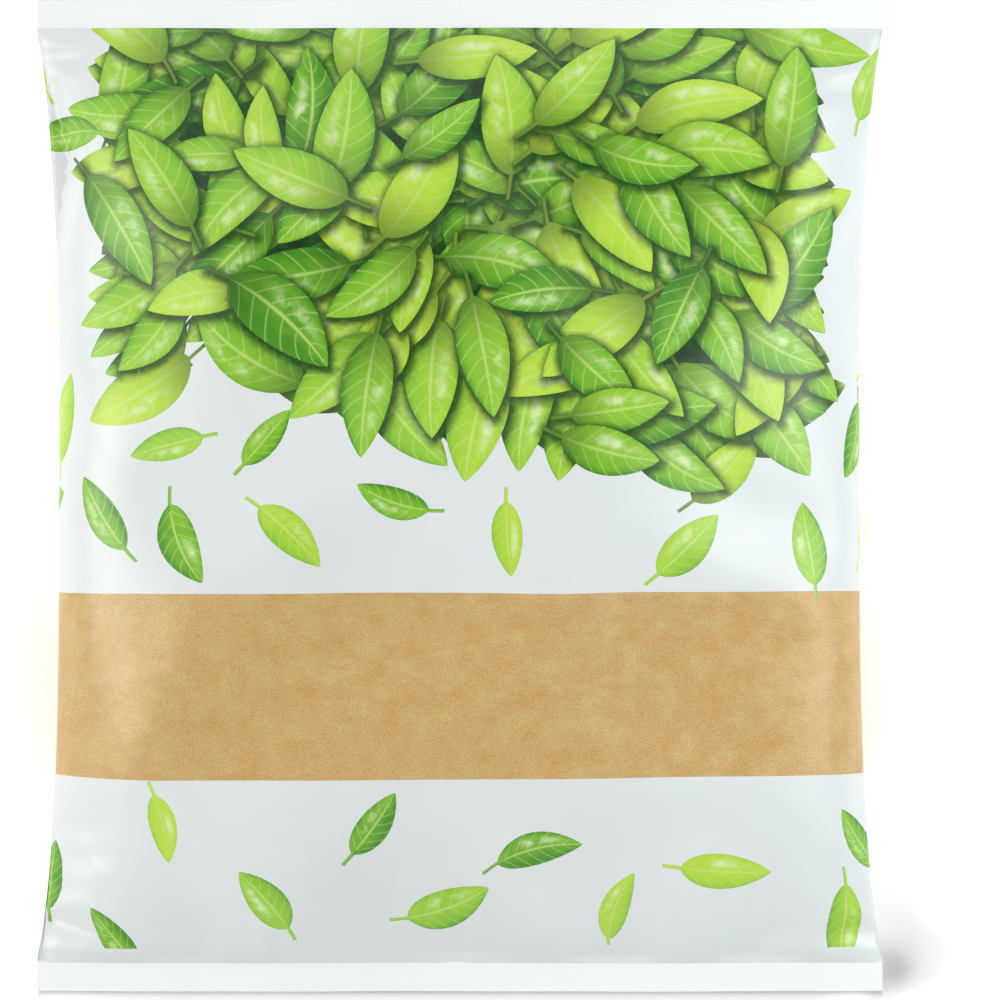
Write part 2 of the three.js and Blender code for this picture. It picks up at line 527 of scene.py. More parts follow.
@dataclass
class FilmCreases:
    """Short straight creases that handling and the seals' jaws have left in the film.

    Most run out from the end seals, some slant across the corners, and a few faint ones are elsewhere.
    """

    sizes: BagSizes
    film_length: float
    from_seals: int = 84
    at_sides: int = 56
    elsewhere: int = 100
    lip: float = 2.0  # in places the film runs on flat this far from the bottom seal
    lip_drop: float = 1.0
    lip_fade: float = 14.0  # the pull dies out over this much further up
    seed: int = 9
    rows: np.ndarray = field(init=False)

    def __post_init__(self) -> None:
        """Lays the creases out, each with a place, a turn, a reach, a depth and a width."""
        rng = np.random.default_rng(self.seed)
        half, tall = self.sizes.half_width, self.film_length
        made = []
        for _ in range(self.from_seals):
            x, away = rng.uniform(-0.97, 0.97), rng.exponential(4.0)
            turn = math.pi / 2 + rng.normal(0, 0.3) + 0.5 * x**3
            up = away if rng.random() < 0.5 else tall - away
            turn = turn if up < tall / 2 else math.pi - turn
            size = rng.uniform(4, 16), rng.uniform(0.1, 0.4), rng.uniform(0.9, 2.4)
            made.append((x * half, up, turn, *size))
        for _ in range(self.at_sides):
            side, inward = rng.choice([-1, 1]), rng.exponential(8.0)
            up = tall / 2 + (tall / 2 - 6) * side * rng.choice([-1, 1]) * rng.uniform(0.15, 1)
            turn = rng.choice([-1, 1]) * rng.uniform(0.6, 1.3)
            size = rng.uniform(3, 10), rng.uniform(0.06, 0.28), 1.8
            made.append((side * (half - inward), up, turn, *size))
        for _ in range(self.elsewhere):
            x, up = rng.uniform(-0.9, 0.9) * half, rng.uniform(0.06, 0.94) * tall
            turn = rng.uniform(0, math.pi)
            size = rng.uniform(6, 18), rng.uniform(0.04, 0.13), rng.uniform(2, 4.5)
            made.append((x, up, turn, *size))
        panel = rng.choice([0.0, self.sizes.flat_width], len(made))
        sign = rng.choice([-0.7, 1.0], len(made))
        self.rows = np.array(made)
        self.rows[:, 0] += panel
        self.rows[:, 4] *= sign

    def height(self, across: np.ndarray, up: np.ndarray) -> np.ndarray:
        """How far the creases lift the film.

        Args:
            across: places round the sleeve.
            up: places along it.

        Returns:
            Heights, with a sharp line along each crease.
        """
        full = 2 * self.sizes.flat_width
        across = (across + self.sizes.half_width) % full - self.sizes.half_width
        made = np.zeros(len(across))
        for x, y, turn, length, depth, width in self.rows:
            near = np.flatnonzero((np.abs(across - x) < length) & (np.abs(up - y) < length))
            dx, dy = across[near] - x, up[near] - y
            along = (dx * math.cos(turn) + dy * math.sin(turn)) / length
            beside = np.abs(dy * math.cos(turn) - dx * math.sin(turn))
            made[near] += depth * np.exp(-beside / width) * np.clip(1 - along**2, 0, 1) ** 2
        return made

    def lip_height(self, across: np.ndarray, up: np.ndarray) -> np.ndarray:
        """How far the flat lip beside the bottom seal pulls the film down.

        Args:
            across: places round the sleeve.
            up: places along it.

        Returns:
            Heights below zero where there is a lip.
        """
        share = np.clip(0.5 + 0.8 * np.sin(0.06 * across + 1.2 + 1.3 * np.sin(0.11 * across)), 0, 1)
        fade = np.exp(-np.maximum(up - self.lip, 0) / self.lip_fade)
        return -self.lip_drop * share * np.minimum(up / self.lip, 1) * fade


@dataclass(frozen=True)
class FoldDent:
    """A flat facet, pointed at both ends, where the front has been pressed down beside the left fold."""

    middle: float = 204.0  # above the bottom seal, along the film
    reach: float = 27.0
    width: float = 6.4
    rise: float = 7.0  # the film climbs back to its own height over this much
    left: float = 0.12  # the share of the film's height above the fold that is left
    blend: float = 0.35  # the share of its reach, from each end, over which the facet deepens

    @property
    def span(self) -> float:
        """How far from the fold the facet can change the film."""
        return self.width + self.rise

    def share(self, away: np.ndarray, up: np.ndarray) -> np.ndarray:
        """How much of its height above the fold the film keeps.

        Args:
            away: how far places are from the fold.
            up: places along the film.

        Returns:
            The share, 1 outside the dent.
        """
        taper = np.clip(1 - np.abs(up - self.middle) / self.reach, 0, 1)
        climbed = np.clip((away - self.width * taper) / self.rise, 0, 1)
        kept = self.left + (1 - self.left) * np.sin(0.5 * math.pi * climbed)
        return 1 - (1 - kept) * eased(taper, 0, self.blend)


@dataclass
class FilmSurface:
    """The settled film as one smooth surface over the flat sleeve.

    A place on it is given in the flat film's own millimetres: across from the left fold at
    -105 over the front to the right fold at 105 and on round the back, and up from the bottom seal.
    """

    sleeve: FilmSleeve
    dent: FoldDent = FoldDent()
    fold_cells: float = 2.5  # the folds stay sharp over this many cells of the grid
    slope_step: float = 0.35  # how far apart the film is read for its slope
    crease_fade: float = 3.0  # creases die out this close to a side fold
    creases: FilmCreases = field(init=False)
    rows: np.ndarray = field(init=False)

    def __post_init__(self) -> None:
        """Adds a row past each end, so that the surface starts exactly on the seals."""
        p = self.sleeve.points
        self.rows = np.concatenate([2 * p[:1] - p[1:2], p, 2 * p[-1:] - p[-2:-1]])
        self.creases = FilmCreases(self.sleeve.sizes, self.sleeve.film_length)

    @staticmethod
    def weights(f: np.ndarray) -> np.ndarray:
        """The four cubic B-spline weights of places within a cell, from 0 to 1."""
        g = 1 - f
        return np.stack([g**3, 3 * f**3 - 6 * f**2 + 4, 3 * g**3 - 6 * g**2 + 4, f**3], -1) / 6

    def row_weights(self, up: np.ndarray) -> tuple[np.ndarray, np.ndarray]:
        """The four rows of the grid that shape each place.

        Args:
            up: places along the sleeve.

        Returns:
            The first row of each four, and the four weights.
        """
        s = self.sleeve
        r = np.clip(up / s.cell_along, 0, s.along - 1)
        i = np.minimum(r.astype(int), s.along - 2)
        return i, self.weights(r - i)

    def smooth(self, across: np.ndarray, up: np.ndarray) -> np.ndarray:
        """Points of the plain spline surface.

        Args:
            across: places round the sleeve.
            up: places along it.

        Returns:
            One point for each place.
        """
        s = self.sleeve
        q = (across + s.sizes.half_width) / s.cell_across
        j = np.floor(q).astype(int)
        i, wr = self.row_weights(up)
        wq = self.weights(q - j)
        made = np.zeros((len(across), 3))
        for a in range(4):
            for b in range(4):
                made += (wr[:, a] * wq[:, b])[:, None] * self.rows[i + a, (j + b - 1) % s.across]
        return made

    def fold(self, up: np.ndarray, column: int) -> np.ndarray:
        """Points along one column of the grid, where a side fold runs."""
        i, wr = self.row_weights(up)
        return sum(wr[:, a][:, None] * self.rows[i + a, column] for a in range(4))

    def at(self, across: np.ndarray, up: np.ndarray) -> np.ndarray:
        """Points of the film, with the two side folds kept where the film creased.

        Args:
            across: places round the sleeve.
            up: places along it.

        Returns:
            One point for each place.
        """
        s = self.sleeve
        half, full, length = s.sizes.half_width, 2 * s.sizes.flat_width, s.film_length
        made = self.smooth(across, up)
        for place, column in ((-half, 0), (half, s.across // 2)):
            away = (across - place + full / 2) % full - full / 2
            near = np.clip(1 - np.abs(away) / (self.fold_cells * s.cell_across), 0, 1) ** 2
            pick = np.flatnonzero(near)
            blunt = self.smooth(np.full(len(pick), place), up[pick])
            made[pick] += near[pick][:, None] * (self.fold(up[pick], column) - blunt)
        pick = np.flatnonzero((across > -half) & (across < self.dent.span - half))
        lost = 1 - self.dent.share(across[pick] + half, up[pick])
        made[pick, 2] -= (made[pick, 2] - self.fold(up[pick], 0)[:, 2]) * lost
        beside = np.minimum(np.abs(across - half), np.abs(across + half))
        inside = eased(np.minimum(up, length - up), 0, 1.5)
        raised = inside * self.creases.height(across, up) + self.creases.lip_height(across, up)
        raised *= eased(beside, 0, self.crease_fade)
        made[:, 2] += np.where(across < half, raised, np.maximum(-raised, -made[:, 2]))
        return made

    def sample(self, across: np.ndarray, up: np.ndarray) -> tuple[np.ndarray, np.ndarray]:
        """Points and outward directions.

        Args:
            across: places round the sleeve.
            up: places along it.

        Returns:
            The points and their unit normals.
        """
        e, length = self.slope_step, self.sleeve.film_length
        side = self.at(across + e, up) - self.at(across - e, up)
        rise = self.at(across, np.minimum(up + e, length)) - self.at(across, np.maximum(up - e, 0))
        out = np.cross(side, rise)
        return self.at(across, up), out / np.maximum(np.linalg.norm(out, axis=1, keepdims=True), 1e-9)


# ---------------- the print


class Ink(Enum):
    """What lies on the film at a place. The value is the panel's material slot."""

    BARE = 0
    KRAFT = 1
    SHADE = 2
    LEAF = 3


@dataclass(frozen=True)
class Leaf:
    """One printed leaf with its stalk, in the flat film's millimetres."""

    x: float
    y: float
    turn: float
    length: float
    width: float
    curve: float
    tint: float
    stalk: float = 0.2  # the stalk's share of the blade's length
    stalk_half: float = 0.45
    base_round: float = 0.62
    tip_round: float = 0.86
    widest: float = 1.93  # brings the blade's widest place to its full width

    def half(self, u: np.ndarray) -> np.ndarray:
        """Half the blade's or stalk's width.

        Args:
            u: places along the blade, from 0 at its base to 1 at its tip, and below 0 on the stalk.

        Returns:
            Half widths.
        """
        t = np.clip(u, 0, 1)
        blade = 0.5 * self.width * self.widest * t**self.base_round * (1 - t) ** self.tip_round
        return np.maximum(blade, np.where(u < 0.06, self.stalk_half, 0))

    def rib(self, u: np.ndarray) -> np.ndarray:
        """How far the midrib bows sideways at u."""
        return self.curve * self.length * (u * (1 - u) + 0.25 * np.minimum(u, 0))

    def outline(self, step: float) -> np.ndarray:
        """The leaf's outline.

        Args:
            step: distance between points along the blade.

        Returns:
            Points in order.
        """
        count = max(10, round(self.length / step))
        blade = 0.5 - 0.5 * np.cos(np.linspace(0, math.pi, count))
        u = np.concatenate([[-self.stalk, -self.stalk / 2], blade])
        upper = np.stack([u * self.length, self.rib(u) + self.half(u)], 1)
        lower = np.stack([u * self.length, self.rib(u) - self.half(u)], 1)
        loop = np.concatenate([upper[:-1], [[self.length, 0.0]], lower[:-1][::-1]])
        c, s = math.cos(self.turn), math.sin(self.turn)
        return loop @ np.array([[c, s], [-s, c]]) + [self.x, self.y]

    def own(self, places: np.ndarray) -> np.ndarray:
        """Places along and across the leaf, in millimetres from its base."""
        c, s = math.cos(self.turn), math.sin(self.turn)
        return (places - [self.x, self.y]) @ np.array([[c, -s], [s, c]])

    def around(self, places: np.ndarray) -> np.ndarray:
        """Which places are close enough for the leaf to touch or shade them."""
        return np.abs(places - [self.x, self.y]).max(1) < 1.3 * self.length

    def local(self, places: np.ndarray) -> np.ndarray:
        """Places in the leaf's own terms.

        Args:
            places: points on the flat film.

        Returns:
            For each the share along the blade and the share across it, 1 at its edge.
        """
        own = self.own(places)
        u = own[:, 0] / self.length
        return np.stack([u, (own[:, 1] - self.rib(u)) / np.maximum(self.half(u), 1e-3)], 1)

    def distance(self, places: np.ndarray) -> np.ndarray:
        """How far places lie outside the leaf's outline, 0 or less on it.

        Args:
            places: points on the flat film.

        Returns:
            Distances in millimetres, nearly true close to the outline.
        """
        own = self.own(places)
        u = np.clip(own[:, 0] / self.length, -self.stalk, 1)
        beside = np.abs(own[:, 1] - self.rib(u)) - self.half(u)
        return np.hypot(np.maximum(beside, 0), own[:, 0] - u * self.length)

    def contains(self, places: np.ndarray) -> np.ndarray:
        """Which places are on the leaf."""
        uw = self.local(places)
        return (uw[:, 0] > -self.stalk) & (uw[:, 0] < 1) & (np.abs(uw[:, 1]) < 1)


@dataclass
class PrintDesign:
    """A plain design of leaves and a kraft-paper band, printed round the sleeve.

    Heights are measured from the bag's middle along the film.
    """

    sizes: BagSizes
    film_length: float
    band_low: float = -70.0
    band_high: float = -24.0
    bare_strip: float = 5.0  # the print stops this far above the bottom seal
    foliage_half: float = 86.0
    foliage_spacing: float = 9.0
    shade_inset: float = 9.0
    leaf_length: Pair = (23.0, 33.0)
    leaf_slim: Pair = (0.54, 0.7)
    single_length: Pair = (17.5, 23.0)
    single_spacing: float = 22.5
    band_margin: float = 11.0  # single leaves keep their middles this far from the kraft band
    end_margin: float = 8.0
    clear_of_foliage: Pair = (13.0, 17.0)  # and this far from it, across and below
    fan_middle: float = 75.0  # the foliage's leaves point away from this height
    fan_spread: Pair = (0.6, 0.9)  # how unevenly, at the rim and inside
    tries: int = 9000
    seed: int = 21
    foliage: list[Leaf] = field(init=False)
    singles: list[Leaf] = field(init=False)

    def __post_init__(self) -> None:
        """Lays the leaves out."""
        rng = np.random.default_rng(self.seed)
        self.foliage = self.lay_foliage(rng)
        self.singles = self.lay_singles(rng)

    def foliage_edge(self, x: np.ndarray | float) -> np.ndarray | float:
        """The dense foliage's lower edge at x."""
        return 24 - 15 * np.sin(x / 42 + 0.5) + 4.5 * np.sin(x / 13)

    def shade_outline(self) -> np.ndarray:
        """The dark ground behind the dense foliage, set in from the foliage's edge.

        Returns:
            Its outline's points in order.
        """
        half, top = self.foliage_half - self.shade_inset, self.film_length / 2 + 1
        x = np.linspace(-half, half, 101)
        low = self.foliage_edge(x) + self.shade_inset + 0.8 * np.sin(x / 2.9)
        y = np.linspace(low[-1], top, 60)[1:]
        side = 0.9 * np.sin(y / 3.1)
        right = np.stack([half + side, y], 1)
        left = np.stack([-half - side, y], 1)[::-1]
        return np.concatenate([np.stack([x, low], 1), right, left])

    def random_leaf(self, rng: np.random.Generator, x: float, y: float, turn: float, size: Pair) -> Leaf:
        """One leaf whose middle is at a place.

        Args:
            rng: the seeded generator.
            x: across the flat film.
            y: along it.
            turn: the way its tip points, in radians.
            size: its shortest and longest length.

        Returns:
            The leaf.
        """
        length = rng.uniform(*size)
        return Leaf(
            x=x - 0.5 * length * math.cos(turn),
            y=y - 0.5 * length * math.sin(turn),
            turn=turn,
            length=length,
            width=length * rng.uniform(*self.leaf_slim),
            curve=rng.uniform(-0.35, 0.35),
            tint=rng.uniform(0, 1),
        )

    def in_foliage(self, x: float, y: float, beside: float = 0, below: float = 0) -> bool:
        """Whether a place is in the dense foliage, or this close beside or below it."""
        return abs(x) < self.foliage_half + beside and y > self.foliage_edge(x) - below

    def in_open(self, x: float, y: float) -> bool:
        """Whether a place is well clear of the kraft band and the foliage."""
        low, high = self.band_low - self.band_margin, self.band_high + self.band_margin
        return not (low < y < high or self.in_foliage(x, y, *self.clear_of_foliage))

    def scatter(
        self, rng: np.random.Generator, box: tuple[Pair, Pair], spacing: float, free: Callable[..., bool]
    ) -> list[Pair]:
        """Random places on the sleeve, none closer to another than the spacing.

        Args:
            rng: the seeded generator.
            box: the lowest and highest place across, and along the film.
            spacing: the smallest distance.
            free: whether a leaf may lie at a place.

        Returns:
            The places.
        """
        made: list[Pair] = []
        for _ in range(self.tries):
            x, y = rng.uniform(*box[0]), rng.uniform(*box[1])
            gaps = (math.hypot(self.round_gap(x - a), y - b) for a, b in made)
            if free(x, y) and all(gap > spacing for gap in gaps):
                made.append((x, y))
        return made

    def lay_foliage(self, rng: np.random.Generator) -> list[Leaf]:
        """The dense foliage, from its lowest leaf to its topmost.

        Args:
            rng: the seeded generator.

        Returns:
            The leaves.
        """
        half, top = self.foliage_half, self.film_length / 2 + 4
        places = self.scatter(rng, ((-half, half), (-5, top)), self.foliage_spacing, self.in_foliage)
        order = rng.permutation(len(places))
        rim = self.shade_outline()[::3]
        rim = rim[rng.permutation(len(rim))]
        made = []
        for spots, spread in zip((rim, [places[k] for k in order]), self.fan_spread):
            for x, y in spots:
                turn = math.atan2(y - self.fan_middle, x * 0.8) + rng.normal(0, spread)
                made.append(self.random_leaf(rng, x, y, turn, self.leaf_length))
        return made

    def lay_singles(self, rng: np.random.Generator) -> list[Leaf]:
        """Leaves scattered on the white ground, all round the sleeve.

        Args:
            rng: the seeded generator.

        Returns:
            The leaves.
        """
        half, end = self.sizes.half_width, self.film_length / 2 - self.end_margin
        places = self.scatter(rng, ((-half, 3 * half), (-end, end)), self.single_spacing, self.in_open)
        spots = zip(places, rng.uniform(0, 2 * math.pi, len(places)))
        return [self.random_leaf(rng, *place, turn, self.single_length) for place, turn in spots]

    def round_gap(self, gap: float) -> float:
        """The shortest way across between two places, round the sleeve."""
        full = 2 * self.sizes.flat_width
        return (gap + full / 2) % full - full / 2

    def leaves_near(self, middle: float) -> list[Leaf]:
        """The scattered leaves that touch one panel, some of them from over its folds.

        Args:
            middle: the flat place that the panel is centred on.

        Returns:
            The leaves, each placed for this panel.
        """
        reach = self.sizes.half_width + 1.5 * self.single_length[1]
        near = []
        for leaf in self.singles:
            gap = self.round_gap(leaf.x - middle)
            if abs(gap) < reach:
                near.append(replace(leaf, x=middle + gap))
        return near

    def print_end(self, across: np.ndarray) -> np.ndarray:
        """The slightly wavy line where the print stops above the bottom seal."""
        wave = 0.5 * np.sin(across / 19) + 0.35 * np.sin(across / 6.3)
        return self.bare_strip - self.film_length / 2 + wave


# ---------------- finishes


@dataclass(frozen=True)
class Finish:
    """What the finishes share: a material made from one shader."""

    name: str = ""

    def shader(self, tree: Tree) -> Node:
        """The shader, which each finish makes in its own way."""
        raise NotImplementedError

    def material(self) -> bpy.types.Material:
        """Builds the material.

        Returns:
            The material.
        """
        made = bpy.data.materials.new(self.name)
        made.use_nodes = True
        made.node_tree.nodes.clear()
        add_node(made.node_tree, "OutputMaterial", links={"Surface": self.shader(made.node_tree)})
        return made


@dataclass(frozen=True)
class PrintedFilm(Finish):
    """Polyethylene film, blown, filled with white pigment and printed on its outer face.

    Pigmented film gives the eye a milky white with a soft satin gloss; blowing leaves faint
    bands, and handling leaves a fine crinkle.
    """

    name: str = "white_polyethylene_film"
    white: str = "#DEE4E5"
    milky: str = "#D9DFE0"
    roughness: float = 0.34
    ior: float = 1.51  # polyethylene
    cloud_mm: float = 45.455  # slow changes in the film's thickness
    crinkle_mm: float = 5.0
    crinkle_height: float = 0.035 * METRE

    def flat(self, tree: Tree) -> Source:
        """Places on the flat film, in metres."""
        return add_node(tree, "UVMap", {"uv_map": "FlatFilm"})

    def colour(self, tree: Tree) -> Source:
        """The film's own white, a little thinner in places.

        Args:
            tree: the node tree.

        Returns:
            The colour.
        """
        settings = {"Scale": per_metre(self.cloud_mm), "Detail": 3.0, "Roughness": 0.55}
        cloud = add_node(tree, "TexNoise", settings, {"Vector": self.flat(tree)})
        stops = [(0.3, linear(self.milky)), (0.7, linear(self.white))]
        return add_node(tree, "ValToRGB", {"stops": stops, "blend": Blend.EASED}, {"Fac": cloud})

    def shader(self, tree: Tree) -> Node:
        """Satin film with the fine crinkle that handling leaves.

        Args:
            tree: the node tree.

        Returns:
            The shader.
        """
        settings = {"Scale": per_metre(self.crinkle_mm), "Detail": 2.0, "Distortion": 0.6}
        crinkle = add_node(tree, "TexNoise", settings, {"Vector": self.flat(tree)})
        relief = {"Strength": 0.35, "Distance": self.crinkle_height}
        bump = add_node(tree, "Bump", relief, {"Height": crinkle})
        settings = {"Roughness": self.roughness, "IOR": self.ior}
        links = {"Base Color": self.colour(tree), "Normal": bump}
        return add_node(tree, "BsdfPrincipled", settings, links)


@dataclass(frozen=True)
class KraftPrint(PrintedFilm):
    """Film printed to look like brown kraft paper, in halftone dots too fine to see.

    Kraft pulp gives the eye a warm tan with short darker fibres, pale flecks and slow blotches.
    """

    name: str = "kraft_paper_print"
    tan: str = "#CAA66C"
    deep: str = "#C59D5C"
    pale: str = "#CFB179"
    fleck: str = "#D6BD8A"
    fibre: str = "#A37D4B"
    blotch_mm: float = 6.6667
    grain_mm: float = 0.5  # the felted surface of the pulp
    fibre_mm: float = 0.8  # loose fibres are 1 to 3 mm long

    def colour(self, tree: Tree) -> Source:
        """Blotched tan with grain, fibres and flecks.

        Args:
            tree: the node tree.

        Returns:
            The colour.
        """
        flat = self.flat(tree)
        tones = [(0.38, linear(self.deep)), (0.5, linear(self.tan)), (0.62, linear(self.pale))]
        settings = {"Scale": per_metre(self.blotch_mm), "Detail": 8.0, "Roughness": 0.75}
        blotch = add_node(tree, "TexNoise", settings, {"Vector": flat})
        last = add_node(tree, "ValToRGB", {"stops": tones}, {"Fac": blotch})
        settings = {"Scale": per_metre(self.grain_mm), "Detail": 2.0, "Roughness": 0.6}
        grain = add_node(tree, "TexNoise", settings, {"Vector": flat})
        layers = [
            (grain, self.fibre, [(0.3, grey(0.42)), (0.5, grey(0.0))]),
            (grain, self.fleck, [(0.5, grey(0.0)), (0.7, grey(0.45))]),
        ]
        for turn, tone, stops in (
            (0.5, self.fibre, [(0.25, grey(0.5)), (0.36, grey(0.0))]),
            (-0.9, self.fleck, [(0.66, grey(0.0)), (0.76, grey(0.6))]),
        ):
            drawn_out = {"Scale": (1.0, 0.3, 1.0), "Rotation": (0.0, 0.0, turn)}
            lie = add_node(tree, "Mapping", drawn_out, {"Vector": flat})
            settings = {"Scale": per_metre(self.fibre_mm), "Detail": 3.0, "Roughness": 0.65}
            layers.append((add_node(tree, "TexNoise", settings, {"Vector": lie}), tone, stops))
        for pattern, tone, stops in layers:
            share = add_node(tree, "ValToRGB", {"stops": stops}, {"Fac": pattern})
            last = add_node(tree, "MixRGB", {"Color2": linear(tone)}, {"Fac": share, "Color1": last})
        return last


@dataclass(frozen=True)
class LeafPrint(PrintedFilm):
    """Green leaves printed on the film.

    A soya leaf gives the eye one half lit and one in shade, pale ribs, and a waxy gleam.
    """

    name: str = "leaf_print"
    dark: str = "#48901D"
    green: str = "#7DB92E"
    mid: str = "#9ACB3A"
    lime: str = "#B8DA42"
    gleam: str = "#DCEDBC"
    rib: str = "#C4E080"
    gap: str = "#08380A"
    side_ribs: float = 7.0
    mottle_mm: float = 5.2632

    def colour(self, tree: Tree) -> Source:
        """The leaf's greens, ribs, gleam and the shadow of the leaves above it.

        Args:
            tree: the node tree.

        Returns:
            The colour.
        """
        own = add_node(tree, "UVMap", {"uv_map": "LeafSpace"})
        parts = add_node(tree, "SeparateXYZ", links={"Vector": own})
        settings = {"Scale": per_metre(self.mottle_mm), "Detail": 4.0, "Roughness": 0.6}
        known: dict[str, Source] = {
            "along": parts.outputs["X"],
            "across": parts.outputs["Y"],
            "tint": add_node(tree, "Attribute", {"attribute_name": "leaf_tint"}).outputs["Fac"],
            "cover": add_node(tree, "Attribute", {"attribute_name": "leaf_cover"}).outputs["Fac"],
            "mottle": add_node(tree, "TexNoise", settings, {"Vector": self.flat(tree)}),
        }
        tones = [(0.0, self.dark), (0.3, self.green), (0.6, self.mid), (1.0, self.lime)]
        greens = {"stops": [(place, linear(tone)) for place, tone in tones]}
        lengthwise = [(0.2, grey(0)), (0.45, grey(1)), (0.6, grey(1)), (0.85, grey(0))]
        crosswise = [(0.12, grey(0)), (0.4, grey(1)), (0.5, grey(1)), (0.8, grey(0))]
        # each step's name, its node or its sum, its settings, and the steps that feed it
        steps: tuple[tuple[str, str, dict, dict], ...] = (
            # one half is lit, the rim is darker, and the blade is mottled
            ("side", "ABSOLUTE", {}, {0: "across"}),
            ("lit", "MULTIPLY_ADD", {1: 0.17}, {0: "across", 2: "tint"}),
            ("lit", "SUBTRACT", {1: 0.12}, {0: "lit"}),
            ("lit", "MULTIPLY_ADD", {1: 0.45}, {0: "mottle", 2: "lit"}),
            ("rim", "POWER", {1: 5.0}, {0: "side"}),
            ("rim", "MULTIPLY", {1: 0.35}, {0: "rim"}),
            ("lit", "SUBTRACT", {}, {0: "lit", 1: "rim"}),
            ("blade", "ValToRGB", greens, {"Fac": "lit"}),
            # side ribs sweep forward from the midrib
            ("lean", "POWER", {1: 1.3}, {0: "side"}),
            ("lean", "MULTIPLY_ADD", {1: -0.17}, {0: "lean", 2: "along"}),
            ("wave", "MULTIPLY", {1: self.side_ribs}, {0: "lean"}),
            ("wave", "FRACT", {}, {0: "wave"}),
            ("wave", "SUBTRACT", {1: 0.5}, {0: "wave"}),
            ("wave", "ABSOLUTE", {}, {0: "wave"}),
            ("rib", "ValToRGB", {"stops": [(0.0, grey(0.5)), (0.09, grey(0.0))]}, {"Fac": "wave"}),
            ("midrib", "ValToRGB", {"stops": [(0.0, grey(0.85)), (0.10, grey(0.0))]}, {"Fac": "side"}),
            ("rib", "MAXIMUM", {}, {0: "rib", 1: "midrib"}),
            ("blade", "MixRGB", {"Color2": linear(self.rib)}, {"Fac": "rib", "Color1": "blade"}),
            # the waxy gleam lies in a patch on the lit half
            ("long", "ValToRGB", {"stops": lengthwise, "blend": Blend.EASED}, {"Fac": "along"}),
            ("wide", "ValToRGB", {"stops": crosswise, "blend": Blend.EASED}, {"Fac": "across"}),
            ("patch", "ValToRGB", {"stops": [(0.42, grey(0)), (0.62, grey(0.75))]}, {"Fac": "mottle"}),
            ("spot", "MULTIPLY", {}, {0: "long", 1: "wide"}),
            ("spot", "MULTIPLY", {}, {0: "spot", 1: "patch"}),
            ("blade", "MixRGB", {"Color2": linear(self.gleam)}, {"Fac": "spot", "Color1": "blade"}),
            ("blade", "MixRGB", {"Color2": linear(self.gap)}, {"Fac": "cover", "Color1": "blade"}),
        )
        for name, kind, settings, links in steps:
            if kind.isupper():
                kind, settings = "Math", {"operation": kind, **settings}
            sources = {key: known[source] for key, source in links.items()}
            known[name] = add_node(tree, kind, settings, sources)
        return known["blade"]


@dataclass(frozen=True)
class ShadePrint(PrintedFilm):
    """The dark green printed in the gaps between the leaves, where little light gets in."""

    name: str = "leaf_shade_print"
    deep: str = "#0A300B"
    soft: str = "#194F13"
    spot_mm: float = 4.1667

    def colour(self, tree: Tree) -> Source:
        """Mottled dark green.

        Args:
            tree: the node tree.

        Returns:
            The colour.
        """
        stops = [(0.35, linear(self.deep)), (0.7, linear(self.soft))]
        settings = {"Scale": per_metre(self.spot_mm), "Detail": 3.0}
        spot = add_node(tree, "TexNoise", settings, {"Vector": self.flat(tree)})
        return add_node(tree, "ValToRGB", {"stops": stops, "blend": Blend.EASED}, {"Fac": spot})


@dataclass(frozen=True)
class WeldedFilm(PrintedFilm):
    """The same film where hot jaws have pressed two plies together: whiter, flatter and smoother."""

    name: str = "welded_film"
    white: str = "#F5F8FB"
    milky: str = "#F2F5F8"
    roughness: float = 0.3

    def flat(self, tree: Tree) -> Source:
        """Places on the seal, in metres."""
        return add_node(tree, "TexCoord").outputs["Object"]


@dataclass(frozen=True)
class EdamameSkin(Finish):
    """Blanched, frozen soya beans.

    The thin skin gives the eye a lively lime green that differs from bean to bean, and a wet gloss.
    """

    name: str = "edamame_skin"
    deep: str = "#7DB23E"
    lime: str = "#A8D255"
    roughness: float = 0.3
    ior: float = 1.4  # mostly water
    mottle_mm: float = 3.3333

    def shader(self, tree: Tree) -> Node:
        """Mottled green skin that lets a little light in.

        Args:
            tree: the node tree.

        Returns:
            The shader.
        """
        where = add_node(tree, "TexCoord").outputs["Object"]
        ripe = add_node(tree, "Attribute", {"attribute_name": "ripeness"}).outputs["Fac"]
        settings = {"Scale": per_metre(self.mottle_mm), "Detail": 3.0}
        mottle = add_node(tree, "TexNoise", settings, {"Vector": where})
        mixed = add_node(tree, "Math", {"operation": "MULTIPLY_ADD", 1: 0.5}, {0: mottle, 2: ripe})
        stops = [(0.2, linear(self.deep)), (1.0, linear(self.lime))]
        skin = add_node(tree, "ValToRGB", {"stops": stops}, {"Fac": mixed})
        settings = {
            "Roughness": self.roughness,
            "IOR": self.ior,
            "Subsurface Weight": 0.15,
            "Subsurface Radius": (0.002, 0.003, 0.001),
        }
        return add_node(tree, "BsdfPrincipled", settings, {"Base Color": skin})


